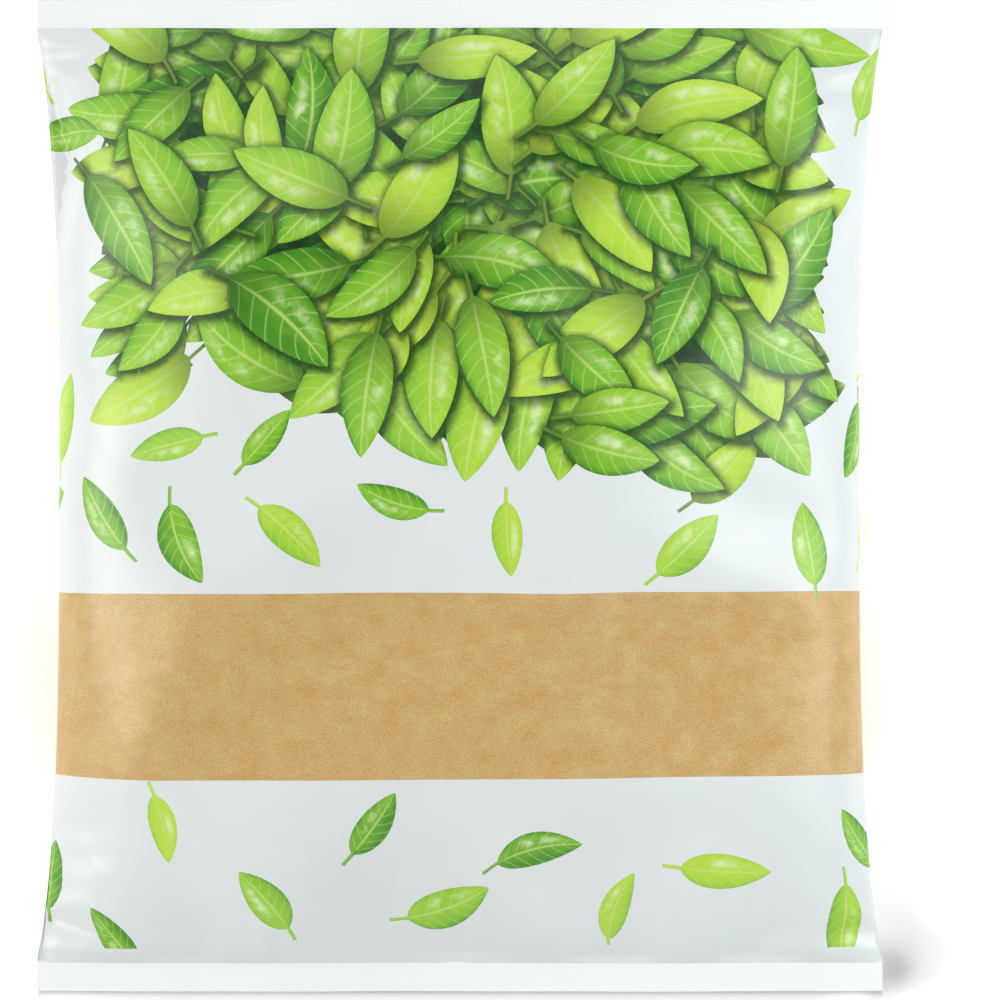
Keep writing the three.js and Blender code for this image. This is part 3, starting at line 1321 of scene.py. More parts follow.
@dataclass(frozen=True)
class StudioPaper(Finish):
    """Matt white background paper on a light table, with the faint tooth of its pulp.

    The light from below keeps the paper white to the eye right up to the bag's edges.
    """

    name: str = "studio_paper"
    white: str = "#FDFDFD"
    tooth: str = "#FAFAFA"
    glow: float = 0.2
    pulp_mm: float = 1.1111  # coarser than real pulp, so that it shows

    def shader(self, tree: Tree) -> Node:
        """Matt paper that glows a little.

        Args:
            tree: the node tree.

        Returns:
            The shader.
        """
        where = add_node(tree, "TexCoord").outputs["Object"]
        settings = {"Scale": per_metre(self.pulp_mm), "Detail": 2.0}
        pulp = add_node(tree, "TexNoise", settings, {"Vector": where})
        stops = [(0.3, linear(self.tooth)), (0.7, linear(self.white))]
        colour = add_node(tree, "ValToRGB", {"stops": stops}, {"Fac": pulp})
        settings = {
            "Roughness": 0.9,
            "IOR": 1.45,
            "Specular IOR Level": 0.2,
            "Emission Strength": self.glow,
            "Emission Color": linear(self.white),
        }
        return add_node(tree, "BsdfPrincipled", settings, {"Base Color": colour})


@dataclass(frozen=True)
class GreyGel(Finish):
    """A graduated grey lighting gel lying on the paper under an end seal.

    It holds back part of the light along one soft line, so the eye finds the contact shadow that
    the light table drowns.
    """

    name: str = "graduated_grey_gel"
    start_mm: float = 116.0  # from the bag's middle
    end_mm: float = 127.0
    # places from the bag's middle outwards, each with the share of the light that goes through
    grades: tuple[Pair, ...] = (
        (118.5, 1.0), (124.0, 0.44), (125.0, 0.44), (125.4, 0.64), (126.0, 0.86), (126.6, 1.0)
    )
    dye_mm: float = 16.667
    unevenness: float = 0.04

    def shader(self, tree: Tree) -> Node:
        """Clear sheet with a band of slightly uneven dye.

        Args:
            tree: the node tree.

        Returns:
            The shader.
        """
        where = add_node(tree, "TexCoord").outputs["Object"]
        parts = add_node(tree, "SeparateXYZ", links={"Vector": where})
        away = add_node(tree, "Math", {"operation": "ABSOLUTE"}, {0: parts.outputs["Y"]})
        span = self.end_mm - self.start_mm
        settings = {"operation": "MULTIPLY_ADD", 1: per_metre(span), 2: -self.start_mm / span}
        share = add_node(tree, "Math", settings, {0: away})
        stops = [((place - self.start_mm) / span, grey(passed)) for place, passed in self.grades]
        grade = add_node(tree, "ValToRGB", {"stops": stops}, {"Fac": share})
        settings = {"Scale": per_metre(self.dye_mm), "Detail": 1.0}
        dye = add_node(tree, "TexNoise", settings, {"Vector": where})
        stops = [(0.3, grey(1 - self.unevenness)), (0.7, grey(1.0))]
        uneven = add_node(tree, "ValToRGB", {"stops": stops}, {"Fac": dye})
        settings = {"blend_type": "MULTIPLY", "Fac": 1.0}
        colour = add_node(tree, "MixRGB", settings, {"Color1": grade, "Color2": uneven})
        return add_node(tree, "BsdfTransparent", links={"Color": colour})


# ---------------- meshes


@dataclass
class Shell:
    """A closed thin sheet: an outer skin, the same skin one thickness inside it, and the rim between."""

    name: str
    outer: np.ndarray
    normals: np.ndarray
    triangles: np.ndarray
    thickness: float | np.ndarray
    faces: np.ndarray = field(init=False)
    wall_start: int = field(init=False)  # the first face of the rim

    def build(self) -> bpy.types.Object:
        """Makes the mesh, with smooth shading that follows the given normals.

        Returns:
            The object.
        """
        count, t = len(self.outer), self.triangles
        inner = self.outer - self.normals * np.reshape(self.thickness, (-1, 1))
        both = np.concatenate([self.outer, inner])
        loops = np.stack([t, np.roll(t, -1, 1)], -1).reshape(-1, 2)
        key = loops[:, 0].astype(np.int64) * count + loops[:, 1]
        back = loops[:, 1].astype(np.int64) * count + loops[:, 0]
        a, b = loops[~np.isin(key, back)].T
        walls = np.concatenate([np.stack([b, a, a + count], 1), np.stack([b, a + count, b + count], 1)])
        self.faces = np.concatenate([t, t[:, ::-1] + count, walls])
        self.wall_start = 2 * len(t)
        made = add_mesh(self.name, both, self.faces)
        corner = np.concatenate([self.normals, -self.normals])[self.faces.ravel()]
        flat = np.repeat(face_normals(both, self.faces), 3, 0)
        corner[3 * self.wall_start :] = flat[3 * self.wall_start :]
        # where the film is pinched to a point its own direction is lost, so the face's is taken
        lost = (corner * flat).sum(1) < 0.2
        corner[lost] = flat[lost]
        made.data.normals_split_custom_set(corner.tolist())
        return made


@dataclass
class PrintedPanel:
    """The front or the back of the bag: film from fold to fold, with the print cut into it."""

    name: str
    surface: FilmSurface
    design: PrintDesign
    middle: float
    leaves: list[Leaf]
    foliage: int  # how many of the leaves, from the first, belong to the dense foliage
    cell: float = 1.5
    outline_step: float = 1.25
    ply_gap: float = 0.1  # the two panels part by this much at the seals
    ply_reach: float = 9.0  # and come together over this much beside them
    deepest_shadow: float = 0.93
    shadow_reach: float = 2.8
    shadow_shift: Pair = (0.5, -0.8)
    base_shadow: float = 0.68  # a leaf's base lies deeper than its tip
    base_end: Pair = (-0.1, 0.5)  # the shares of its length between which it brightens
    # in the map for baking: the width and the start of the outer skin, the inner skin and the rim
    map_strips: tuple[Pair, ...] = ((0.86, 0.01), (0.09, 0.895), (0.004, 0.991))
    map_margin: float = 0.015

    def outlines(self) -> list[tuple[np.ndarray, bool]]:
        """All the print's outlines that fall on this panel.

        Returns:
            Point rows, and whether each closes on itself.
        """
        d, half = self.design, self.design.sizes.half_width
        x = np.linspace(-half, half, 141) + self.middle
        lines = [(np.stack([x, np.full_like(x, y)], 1), False) for y in (d.band_low, d.band_high)]
        lines.append((np.stack([x, d.print_end(x)], 1), False))
        lines += [(leaf.outline(self.outline_step), True) for leaf in self.leaves]
        if self.foliage:
            lines.append((d.shade_outline(), True))
        return lines

    def triangulate(self) -> tuple[np.ndarray, np.ndarray]:
        """Cuts the flat panel into triangles along every outline.

        Returns:
            Flat places and triangles.
        """
        half, tall = self.design.sizes.half_width, self.design.film_length / 2
        columns, rows = round(2 * half / self.cell), round(2 * tall / self.cell)
        xs = np.linspace(-half, half, columns + 1) + self.middle
        ys = np.linspace(-tall, tall, rows + 1)
        sides = ((xs[:-1], ys[:1]), (xs[-1:], ys[:-1]), (xs[:0:-1], ys[-1:]), (xs[:1], ys[:0:-1]))
        rim = np.concatenate([np.stack(np.broadcast_arrays(x, y), 1) for x, y in sides])
        low, high = rim.min(0), rim.max(0)
        taken = len(rim)
        edges = [(i, (i + 1) % taken) for i in range(taken)]
        drawn = []
        for line, closed in self.outlines():
            inside = np.clip(line, low, high)
            keep = np.ones(len(inside), bool)
            keep[1:] = np.abs(np.diff(inside, axis=0)).max(1) > 1e-6
            drawn.append(inside[keep])
            count = len(drawn[-1])
            pairs = count if closed else count - 1
            edges += [(taken + i, taken + (i + 1) % count) for i in range(pairs)]
            taken += count
        gx, gy = np.meshgrid(xs[1:-1], ys[1:-1])
        gx[::2] += 0.25 * self.cell
        gx[1::2] -= 0.25 * self.cell
        grid = np.stack([gx.ravel(), gy.ravel()], 1)
        near = self.near_outlines(grid, np.concatenate(drawn))
        places = np.concatenate([rim, *drawn, grid[~near]])
        corners, _, faces, *_ = delaunay_2d_cdt([Vector(p) for p in places], edges, [], 0, 1e-3)
        flat = np.array([tuple(c) for c in corners])
        triangles = np.array(faces)
        a, b, c = (flat[triangles[:, k]] for k in range(3))
        area = (b - a)[:, 0] * (c - a)[:, 1] - (b - a)[:, 1] * (c - a)[:, 0]
        return flat, triangles[np.abs(area) > 1e-7]

    def near_outlines(self, grid: np.ndarray, drawn: np.ndarray) -> np.ndarray:
        """Which grid places are too close to an outline to keep.

        Args:
            grid: the even grid's places.
            drawn: every outline point.

        Returns:
            True where a place has to go.
        """
        cell = 0.5 * self.cell
        spots = set(map(tuple, np.round(drawn / cell).astype(int)))
        return np.array([tuple(p) in spots for p in np.round(grid / cell).astype(int)])

    def inks(self, centres: np.ndarray) -> tuple[np.ndarray, np.ndarray]:
        """What is printed on each triangle.

        Args:
            centres: the triangles' middles on the flat film.

        Returns:
            The ink of each, and the number of the leaf on it or -1.
        """
        d = self.design
        leaf_of = np.full(len(centres), -1)
        for k, leaf in enumerate(self.leaves):
            box = np.flatnonzero(leaf.around(centres))
            leaf_of[box[leaf.contains(centres[box])]] = k
        x, y = centres[:, 0], centres[:, 1]
        ink = np.full(len(centres), Ink.BARE.value)
        ink[(y > d.band_low) & (y < d.band_high)] = Ink.KRAFT.value
        if self.foliage:
            ink[within(d.shade_outline(), centres)] = Ink.SHADE.value
        ink[leaf_of >= 0] = Ink.LEAF.value
        bare = y < d.print_end(x)
        ink[bare] = Ink.BARE.value
        leaf_of[bare] = -1
        return ink, leaf_of

    def cover(self, places: np.ndarray, leaf_of: np.ndarray) -> np.ndarray:
        """How deep each corner lies in the shadow of the leaves above it.

        Args:
            places: the corners on the flat film.
            leaf_of: the leaf that each corner's triangle shows.

        Returns:
            From 0 for open light to the deepest shadow's share.
        """
        shadow = np.zeros(len(places))
        for k, leaf in enumerate(self.leaves[: self.foliage]):
            near = np.flatnonzero(leaf.around(places) & (leaf_of < k) & (leaf_of >= 0))
            away = leaf.distance(places[near] - self.shadow_shift)
            cast = self.deepest_shadow * (1 - eased(away, 0, self.shadow_reach))
            shadow[near] = np.maximum(shadow[near], cast)
            mine = np.flatnonzero(leaf_of == k)
            deep = self.base_shadow * (1 - eased(leaf.local(places[mine])[:, 0], *self.base_end))
            shadow[mine] = np.maximum(shadow[mine], deep)
        return shadow

    def build(self) -> bpy.types.Object:
        """Makes the panel.

        Returns:
            The object.
        """
        d = self.design
        flat, triangles = self.triangulate()
        ink, leaf_of = self.inks(flat[triangles].mean(1))
        tall = d.film_length / 2
        points, normals = self.surface.sample(flat[:, 0], np.clip(flat[:, 1] + tall, 0, d.film_length))
        side = 1.0 if self.middle == 0 else -1.0
        from_fold = d.sizes.half_width - np.abs(flat[:, 0] - self.middle)
        ends = eased(np.abs(flat[:, 1]), tall - self.ply_reach, tall)
        points[:, 2] += side * self.ply_gap * ends * eased(from_fold, 0, self.cell)
        shell = Shell(self.name, points, normals, triangles, d.sizes.film)
        made = shell.build()
        self.mark(made.data, shell, flat, ink, leaf_of)
        return made

    def mark(
        self, mesh: bpy.types.Mesh, shell: Shell, flat: np.ndarray, ink: np.ndarray, leaf_of: np.ndarray
    ) -> None:
        """Writes the print's slots, attributes and maps onto the mesh.

        Args:
            mesh: the panel's mesh.
            shell: the shell that it was built from.
            flat: flat places of the outer skin's points.
            ink: each outer triangle's ink.
            leaf_of: each outer triangle's leaf, or -1.
        """
        total, printed = len(shell.faces), len(ink)
        corners = flat[shell.triangles.ravel()]
        corner_leaf = np.repeat(leaf_of, 3)
        slots, tints = np.zeros(total, np.int32), np.zeros(total, np.float32)
        slots[:printed] = ink
        tints[:printed] = np.array([leaf.tint for leaf in self.leaves] + [0.0])[leaf_of]
        covered, own = np.zeros(3 * total, np.float32), np.zeros((3 * total, 2))
        covered[: len(corners)] = self.cover(corners, corner_leaf)
        for k, leaf in enumerate(self.leaves):
            mine = np.flatnonzero(corner_leaf == k)
            own[mine] = np.clip(leaf.local(corners[mine]), -1, 1)
        mesh.polygons.foreach_set("material_index", slots)
        for name, domain, values in (("leaf_tint", "FACE", tints), ("leaf_cover", "CORNER", covered)):
            mesh.attributes.new(name, "FLOAT", domain).data.foreach_set("value", values)
        doubled = np.concatenate([flat, flat])[shell.faces.ravel()]
        baked = self.bake_map(shell, doubled)
        for name, values in (("OFBake", baked), ("FlatFilm", doubled * METRE), ("LeafSpace", own)):
            mesh.uv_layers.new(name=name).data.foreach_set("uv", values.astype(np.float32).ravel())
        mesh.uv_layers.active_index = 0

    def bake_map(self, shell: Shell, doubled: np.ndarray) -> np.ndarray:
        """A map that gives every face its own place, side by side in three strips.

        Args:
            shell: the shell.
            doubled: each corner's flat place.

        Returns:
            One map place for each corner.
        """
        half, tall = self.design.sizes.half_width, self.design.film_length / 2
        share = (doubled - [self.middle - half, -tall]) / [2 * half, 2 * tall]
        strip = (shell.faces.ravel() >= len(shell.outer)).astype(int)
        strip[3 * shell.wall_start :] = 2
        width, start = np.array(self.map_strips)[strip].T
        low, high = self.map_margin, 1 - self.map_margin
        return np.stack([start + share[:, 0] * width, low + share[:, 1] * (high - low)], 1)


@dataclass
class EndSeal:
    """A pressed seal across one end of the bag, with the jaws' fine lines near its edges."""

    name: str
    sizes: BagSizes
    end: int
    thickness: float = 0.2
    line_height: float = 0.035
    line_pitch: float = 0.55
    rows_a_line: int = 5
    columns: int = 168
    overlap: float = 0.25  # the seal's inner edge reaches this far over the panels
    outer_band: Pair = (1.1, 0.9)  # the lines' place in from the bag's end, and spread
    inner_band: Pair = (0.9, 0.6)  # and out from the panels

    def build(self) -> bpy.types.Object:
        """Makes the seal.

        Returns:
            The object.
        """
        z = self.sizes
        near = z.body_half - self.overlap
        rows = round((z.bag_half - near) / (self.line_pitch / self.rows_a_line)) + 1
        ys = np.linspace(near, z.bag_half, rows)
        xs = np.linspace(-z.half_width, z.half_width, self.columns + 1)
        gx, gy = np.meshgrid(xs, ys * self.end)
        places = np.stack([gx.ravel(), gy.ravel()], 1)
        triangles = grid_triangles(*gx.shape, flipped=self.end < 0)
        depth = z.bag_half - np.abs(places[:, 1])
        (outer, spread), (inner, inner_spread) = self.outer_band, self.inner_band
        pressed = np.exp(-(((depth - outer) / spread) ** 2))
        pressed += np.exp(-(((depth - (z.bag_half - z.body_half) + inner) / inner_spread) ** 2))
        lines = self.line_height * pressed * np.sin(2 * math.pi * depth / self.line_pitch)
        height = z.seal_height(places[:, 0], self.end)
        points = np.concatenate([places, (height + 0.5 * self.thickness + lines)[:, None]], 1)
        normals = self.end * grid_normals(points.reshape(*gx.shape, 3))
        return Shell(self.name, points, normals, triangles, self.thickness + lines).build()


@dataclass
class FinSeal:
    """The sleeve's lengthwise seal: two plies welded and folded flat against the back."""

    name: str
    sizes: BagSizes
    surface: FilmSurface
    thickness: float = 0.2
    clearance: float = 0.06
    line_height: float = 0.03
    line_pitch: float = 1.1
    lines_from: Pair = (1.5, 3.0)
    lift: float = 0.05  # the fin's free edge stands off by this much more
    lift_from: Pair = (2.0, 11.0)
    upper_share: float = 0.8  # the rest of the thickness is room over the back panel
    columns: int = 57
    rows: int = 160

    def build(self) -> bpy.types.Object:
        """Makes the fin.

        Returns:
            The object.
        """
        z = self.sizes
        gx, gy = np.meshgrid(
            np.linspace(z.fin_start, z.fin_end, self.columns),
            np.linspace(0, self.surface.sleeve.film_length, self.rows),
        )
        # the back is read where the film comes round under the front
        places = 2 * z.half_width - gx.ravel()
        points, normals = self.surface.sample(places, gy.ravel())
        depth = gx.ravel() - z.fin_start
        lines = self.line_height * np.sin(2 * math.pi * depth / self.line_pitch)
        lines *= eased(depth, *self.lines_from)
        gap = self.clearance + self.lift * eased(depth, *self.lift_from)
        inner = points + normals * gap[:, None]
        outer = inner + normals * (self.thickness + lines)[:, None]
        outer[:, 2] = np.maximum(outer[:, 2], 0.0)
        down = -grid_normals(outer.reshape(*gx.shape, 3))
        triangles = grid_triangles(*gx.shape, flipped=True)
        return Shell(self.name, outer, down, triangles, self.upper_share * self.thickness).build()


@dataclass
class FilmBag:
    """The film bag's pieces: front, back, fin and the two end seals."""

    sizes: BagSizes
    surface: FilmSurface

    def build(self) -> list[bpy.types.Object]:
        """Builds and dresses the pieces.

        Returns:
            The pieces.
        """
        surface, behind = self.surface, self.sizes.flat_width
        design = PrintDesign(self.sizes, surface.sleeve.film_length)
        leaves = design.foliage + design.leaves_near(0.0)
        front = PrintedPanel("film_front", surface, design, 0.0, leaves, len(design.foliage))
        back = PrintedPanel("film_back", surface, design, behind, design.leaves_near(behind), 0)
        inks = [finish.material() for finish in (PrintedFilm(), KraftPrint(), ShadePrint(), LeafPrint())]
        weld = [WeldedFilm().material()]
        made = []
        for maker, node, slot, finishes in (
            (front, "front_panel", "film_front", inks),
            (back, "back_panel", "film_back", inks),
            (FinSeal("film_fin", self.sizes, surface), "fin_seal", "film_seal", weld),
            (EndSeal("film_top_seal", self.sizes, 1), "top_seal", "film_seal", weld),
            (EndSeal("film_bottom_seal", self.sizes, -1), "bottom_seal", "film_seal", weld),
        ):
            piece = maker.build()
            for finish in finishes:
                piece.data.materials.append(finish)
            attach(piece, "root")
            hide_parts(node)
            made.append(piece)
        return made


@dataclass
class FilmRoom:
    """The room inside the film: a ceiling and a floor over an even grid."""

    surface: FilmSurface
    cell: float = 2.0
    half_width: float = 106.0
    half_length: float = 116.0
    film_points: tuple[int, int] = (241, 261)  # across half the sleeve, and along it
    xs: np.ndarray = field(init=False)
    ys: np.ndarray = field(init=False)
    heights: np.ndarray = field(init=False)  # the ceiling's and the floor's
    slopes: list[np.ndarray] = field(init=False)  # along and across, of both

    def __post_init__(self) -> None:
        """Measures the film's heights and their slopes."""
        z = self.surface.sleeve.sizes
        self.xs = np.arange(-self.half_width, self.half_width + 1, self.cell)
        self.ys = np.arange(-self.half_length, self.half_length + 1, self.cell)
        self.heights = np.stack([self.wall(-z.half_width, False), self.wall(z.half_width, True)])
        closed = ~(self.heights[0] - self.heights[1] > 0)
        self.heights[:, closed] = z.seal_level
        self.slopes = np.gradient(self.heights, self.cell, axis=(1, 2))

    def wall(self, start: float, backwards: bool) -> np.ndarray:
        """Heights of one half of the sleeve.

        Args:
            start: where the half begins across the film.
            backwards: whether it runs from the right fold to the left one.

        Returns:
            Heights by row and column, empty outside the folds.
        """
        columns, rows = self.film_points
        gx, gy = np.meshgrid(
            np.linspace(start, start + self.surface.sleeve.sizes.flat_width, columns),
            np.linspace(0, self.surface.sleeve.film_length, rows),
        )
        p = self.surface.at(gx.ravel(), gy.ravel()).reshape(rows, columns, 3)
        if backwards:
            p = p[:, ::-1]
        out = np.zeros((len(self.ys), len(self.xs)))
        for row, y in enumerate(self.ys):
            k = int(np.argmin(np.abs(p[:, columns // 2, 1] - y)))
            order = np.argsort(p[k, :, 0])
            out[row] = np.interp(self.xs, p[k, order, 0], p[k, order, 2], left=np.nan, right=np.nan)
        return out

    def push(self, balls: np.ndarray, room: float, most: float) -> np.ndarray:
        """How far the film pushes each ball back inside.

        Args:
            balls: the balls' middles.
            room: how far a middle stays from the film.
            most: the longest push.

        Returns:
            One move for each ball.
        """
        cells = np.round((balls[:, :2] - [self.xs[0], self.ys[0]]) / self.cell).astype(int)
        j, i = np.clip(cells, 0, [len(self.xs) - 1, len(self.ys) - 1]).T
        moves = np.zeros_like(balls)
        for wall, sign in ((0, 1.0), (1, -1.0)):
            slope = np.stack([self.slopes[1][wall, i, j], self.slopes[0][wall, i, j]], 1)
            offset = balls[:, :2] - np.stack([self.xs[j], self.ys[i]], 1)
            height = self.heights[wall, i, j] + (slope * offset).sum(1)
            normal = sign * np.concatenate([-slope, np.ones((len(balls), 1))], 1)
            normal /= np.linalg.norm(normal, axis=1, keepdims=True)
            inside = sign * (height - balls[:, 2]) * np.abs(normal[:, 2])
            moves -= normal * np.clip(room - inside, 0, most)[:, None]
        return moves

    def gap(self, points: np.ndarray) -> np.ndarray:
        """How far points lie inside the film.

        Args:
            points: points of any shape, with x, y and z last.

        Returns:
            The smaller way up or down to the film, or -1 close to a fold or outside it.
        """
        cells = (points[..., :2] - [self.xs[0], self.ys[0]]) / self.cell
        first = np.clip(np.floor(cells).astype(int), 0, [len(self.xs) - 2, len(self.ys) - 2])
        (j, i), (fx, fy) = np.moveaxis(first, -1, 0), np.moveaxis(np.clip(cells - first, 0, 1), -1, 0)
        ceiling, floor = (
            (1 - fy) * ((1 - fx) * wall[i, j] + fx * wall[i, j + 1])
            + fy * ((1 - fx) * wall[i + 1, j] + fx * wall[i + 1, j + 1])
            for wall in self.heights
        )
        shut = self.heights[0] <= self.heights[1]
        near_fold = shut[i, j] | shut[i, j + 1] | shut[i + 1, j] | shut[i + 1, j + 1]
        return np.where(near_fold, -1.0, np.minimum(ceiling - points[..., 2], points[..., 2] - floor))


@dataclass
class EdamameHeap:
    """The shelled beans inside the bag, shaken down to rest.

    While they settle, each bean is a short rod of three balls, pushed off its neighbours and the film.
    """

    room: FilmRoom
    name: str = "edamame_beans"
    count: int = 810  # 500 g at 0.62 g a bean
    length: float = 15.0
    width: float = 10.0
    depth: float = 7.4
    rings: int = 10
    sides: int = 12
    roundness: float = 0.92
    bend: Pair = (0.72, -0.225)  # the kidney's inner side is drawn in, its back pushed out
    smallest: float = 0.88
    upright: float = 0.45  # how steeply a bean may fall
    crowding: float = 1.2  # how much more beans drop where the bag is deep
    tilt: float = 0.5
    wobble: float = 0.25
    rod_half: float = 3.3
    ball: float = 4.15
    steps: int = 220
    glide: float = 0.9  # how much of its speed a bean keeps from step to step
    fall: float = 0.03
    passes: int = 2
    neighbour_steps: int = 6
    neighbour_reach: float = 1.5
    batch: int = 400
    longest_push: float = 1.5
    sharing: float = 0.6  # how much of each push is left where several meet
    inward_moves: int = 16
    still_zone: Pair = (70.0, 80.0)  # inside this, beans aren't moved sideways
    level_move: float = 0.25
    film_room: float = 0.3  # how close a bean may come to the film
    seed: int = 5

    def scatter(self, rng: np.random.Generator) -> np.ndarray:
        """Drops the beans into the room, more where it is deep.

        Args:
            rng: the random numbers.

        Returns:
            The two ends of each bean's rod.
        """
        ceiling, floor = self.room.heights
        room = np.clip(ceiling - floor - 2 * self.ball, 0, None)
        chance = (room**self.crowding).ravel() / (room**self.crowding).sum()
        spot = rng.choice(len(chance), self.count, p=chance)
        xs, ys = self.room.xs, self.room.ys
        middle = np.zeros((self.count, 3))
        middle[:, 0] = xs[spot % len(xs)] + rng.uniform(-1, 1, self.count)
        middle[:, 1] = ys[spot // len(xs)] + rng.uniform(-1, 1, self.count)
        low, high = floor.ravel()[spot], ceiling.ravel()[spot]
        middle[:, 2] = low + self.ball + rng.uniform(0, 1, self.count) * (high - low - 2 * self.ball)
        axis = rng.normal(size=(self.count, 3)) * [1, 1, self.upright]
        axis /= np.linalg.norm(axis, axis=1, keepdims=True)
        return np.stack([middle - self.rod_half * axis, middle + self.rod_half * axis])

    def settle(self) -> np.ndarray:
        """Shakes the beans down.

        Returns:
            The two ends of each bean's rod.
        """
        ends = self.scatter(np.random.default_rng(self.seed))
        share = np.array([0.0, 0.5, 1.0])
        bean_of = np.tile(np.arange(self.count), len(share))
        part = np.repeat(share, self.count)
        before = ends.copy()
        for step in range(self.steps):
            speed = (ends - before) * self.glide
            before = ends.copy()
            ends = ends + speed
            ends[..., 2] -= self.fall
            if step % self.neighbour_steps == 0:
                pairs = self.close_pairs(self.along(ends, share), bean_of)
            for _ in range(self.passes):
                balls = self.along(ends, share)
                push = self.apart(balls, pairs)
                push += self.room.push(balls + push, self.ball + self.film_room, self.longest_push)
                for end, weight in ((0, 1 - part), (1, part)):
                    total = np.bincount(bean_of, weight, self.count)
                    for k in range(3):
                        ends[end][:, k] += np.bincount(bean_of, push[:, k] * weight, self.count) / total
                rod = ends[1] - ends[0]
                length = np.linalg.norm(rod, axis=1, keepdims=True)
                fix = rod * (0.5 * (length - 2 * self.rod_half) / length)
                ends[0] += fix
                ends[1] -= fix
        return ends

    @staticmethod
    def along(ends: np.ndarray, share: np.ndarray) -> np.ndarray:
        """The middles of the balls at these shares of each bean's rod."""
        return np.concatenate([(1 - f) * ends[0] + f * ends[1] for f in share])

    def apart(self, balls: np.ndarray, pairs: np.ndarray) -> np.ndarray:
        """How far neighbours push each ball away.

        Args:
            balls: the balls' middles.
            pairs: the neighbours as two rows of numbers.

        Returns:
            One move for each ball.
        """
        count = len(balls)
        gap = balls[pairs[1]] - balls[pairs[0]]
        away = np.linalg.norm(gap, axis=1)
        deep = np.flatnonzero(away < 2 * self.ball)
        a, b = pairs[0, deep], pairs[1, deep]
        shove = gap[deep] * ((away[deep] - 2 * self.ball) / np.maximum(away[deep], 1e-6) * 0.5)[:, None]
        push = np.zeros_like(balls)
        for k in range(3):
            push[:, k] += np.bincount(a, shove[:, k], count) - np.bincount(b, shove[:, k], count)
        hits = np.bincount(a, minlength=count) + np.bincount(b, minlength=count)
        return push / np.maximum(hits, 1)[:, None] ** self.sharing

    def close_pairs(self, balls: np.ndarray, bean_of: np.ndarray) -> np.ndarray:
        """Pairs of balls from different beans that are near each other.

        Args:
            balls: the balls' middles.
            bean_of: the bean that each belongs to.

        Returns:
            The pairs as two rows of numbers.
        """
        found = []
        for start in range(0, len(balls), self.batch):
            gap = balls[start : start + self.batch, None] - balls[None]
            i, j = np.nonzero((gap * gap).sum(2) < (2 * self.ball + self.neighbour_reach) ** 2)
            i += start
            keep = (i < j) & (bean_of[i] != bean_of[j])
            found.append(np.stack([i[keep], j[keep]]))
        return np.concatenate(found, 1)

    def kept_inside(self, points: np.ndarray) -> np.ndarray:
        """Moves beans that touch the film towards the bag's middle, and leaves out those that can't fit.

        Args:
            points: points by bean.

        Returns:
            The points of the beans that stay.
        """
        level = self.room.surface.sleeve.sizes.seal_level
        for _ in range(self.inward_moves):
            stuck = (self.room.gap(points) < self.film_room).any(1)
            if not stuck.any():
                return points
            middle = points[stuck].mean(1)
            move = -np.sign(middle)
            move[:, :2] *= np.abs(middle[:, :2]) > self.still_zone
            move[:, 2] = self.level_move * np.clip(level - middle[:, 2], -1, 1)
            points[stuck] += move[:, None]
        return points[~(self.room.gap(points) < self.film_room).any(1)]

    def bean(self) -> tuple[np.ndarray, np.ndarray]:
        """One bean: an oval, slightly kidney-shaped, with a flattened scar on its inner side.

        Returns:
            Its points and triangles.
        """
        rings, sides = self.rings, self.sides
        points = [(-0.5 * self.length, 0.0, 0.0)]
        for ring in range(1, rings):
            polar = math.pi * ring / rings
            x = -0.5 * self.length * math.cos(polar)
            thick = 0.5 * math.sin(polar) ** self.roundness
            for k in range(sides):
                turn = 2 * math.pi * k / sides
                y, z = self.width * math.cos(turn), self.depth * math.sin(turn)
                points.append((x, thick * y, thick * z))
        points.append((0.5 * self.length, 0.0, 0.0))
        p = np.array(points)
        p[:, 1] += (1 - (2 * p[:, 0] / self.length) ** 2) * np.where(p[:, 1] < 0, *self.bend)
        last = len(p) - 1
        faces = []
        for k in range(sides):
            n = (k + 1) % sides
            faces.append((0, 1 + n, 1 + k))
            faces.append((last, last - sides + k, last - sides + n))
            for ring in range(rings - 2):
                a, b = 1 + ring * sides + k, 1 + ring * sides + n
                faces += [(a, b, b + sides), (a, b + sides, a + sides)]
        return p, np.array(faces)

    def build(self) -> bpy.types.Object:
        """Makes and dresses the heap, which stands for the solid fill and all the single beans.

        Returns:
            The object.
        """
        rng = np.random.default_rng(self.seed + 1)
        first, second = self.settle()
        shape, faces = self.bean()
        axis = (second - first) / np.linalg.norm(second - first, axis=1, keepdims=True)
        up = rng.normal(0, self.tilt, (self.count, 1)) * [1.0, 1.0, 0.0] + [0, 0, 1]
        up = up + rng.normal(0, self.wobble, (self.count, 3))
        flat = up - (up * axis).sum(1, keepdims=True) * axis
        flat /= np.linalg.norm(flat, axis=1, keepdims=True)
        size = rng.uniform(self.smallest, 1.0, self.count)
        turned = np.stack([axis, np.cross(flat, axis), flat], 1) * size[:, None, None]
        points = np.einsum("pk,bkd->bpd", shape, turned) + ((first + second) / 2)[:, None]
        points[..., 2] = np.maximum(points[..., 2], self.film_room)
        points = self.kept_inside(points)
        count = len(points)
        all_faces = (faces[None] + (np.arange(count) * len(shape))[:, None, None]).reshape(-1, 3)
        made = add_mesh(self.name, points.reshape(-1, 3), all_faces)
        ripeness = np.repeat(rng.uniform(0, 1, count), len(faces)).astype(np.float32)
        made.data.attributes.new("ripeness", "FLOAT", "FACE").data.foreach_set("value", ripeness)
        made.data.materials.append(EdamameSkin().material())
        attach(made, "root")
        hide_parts("edamame_fill", *(f"bean_{k:02d}" for k in range(1, 53)))
        LOG.info("beans inside the film: %d", count)
        return made


# ---------------- studio


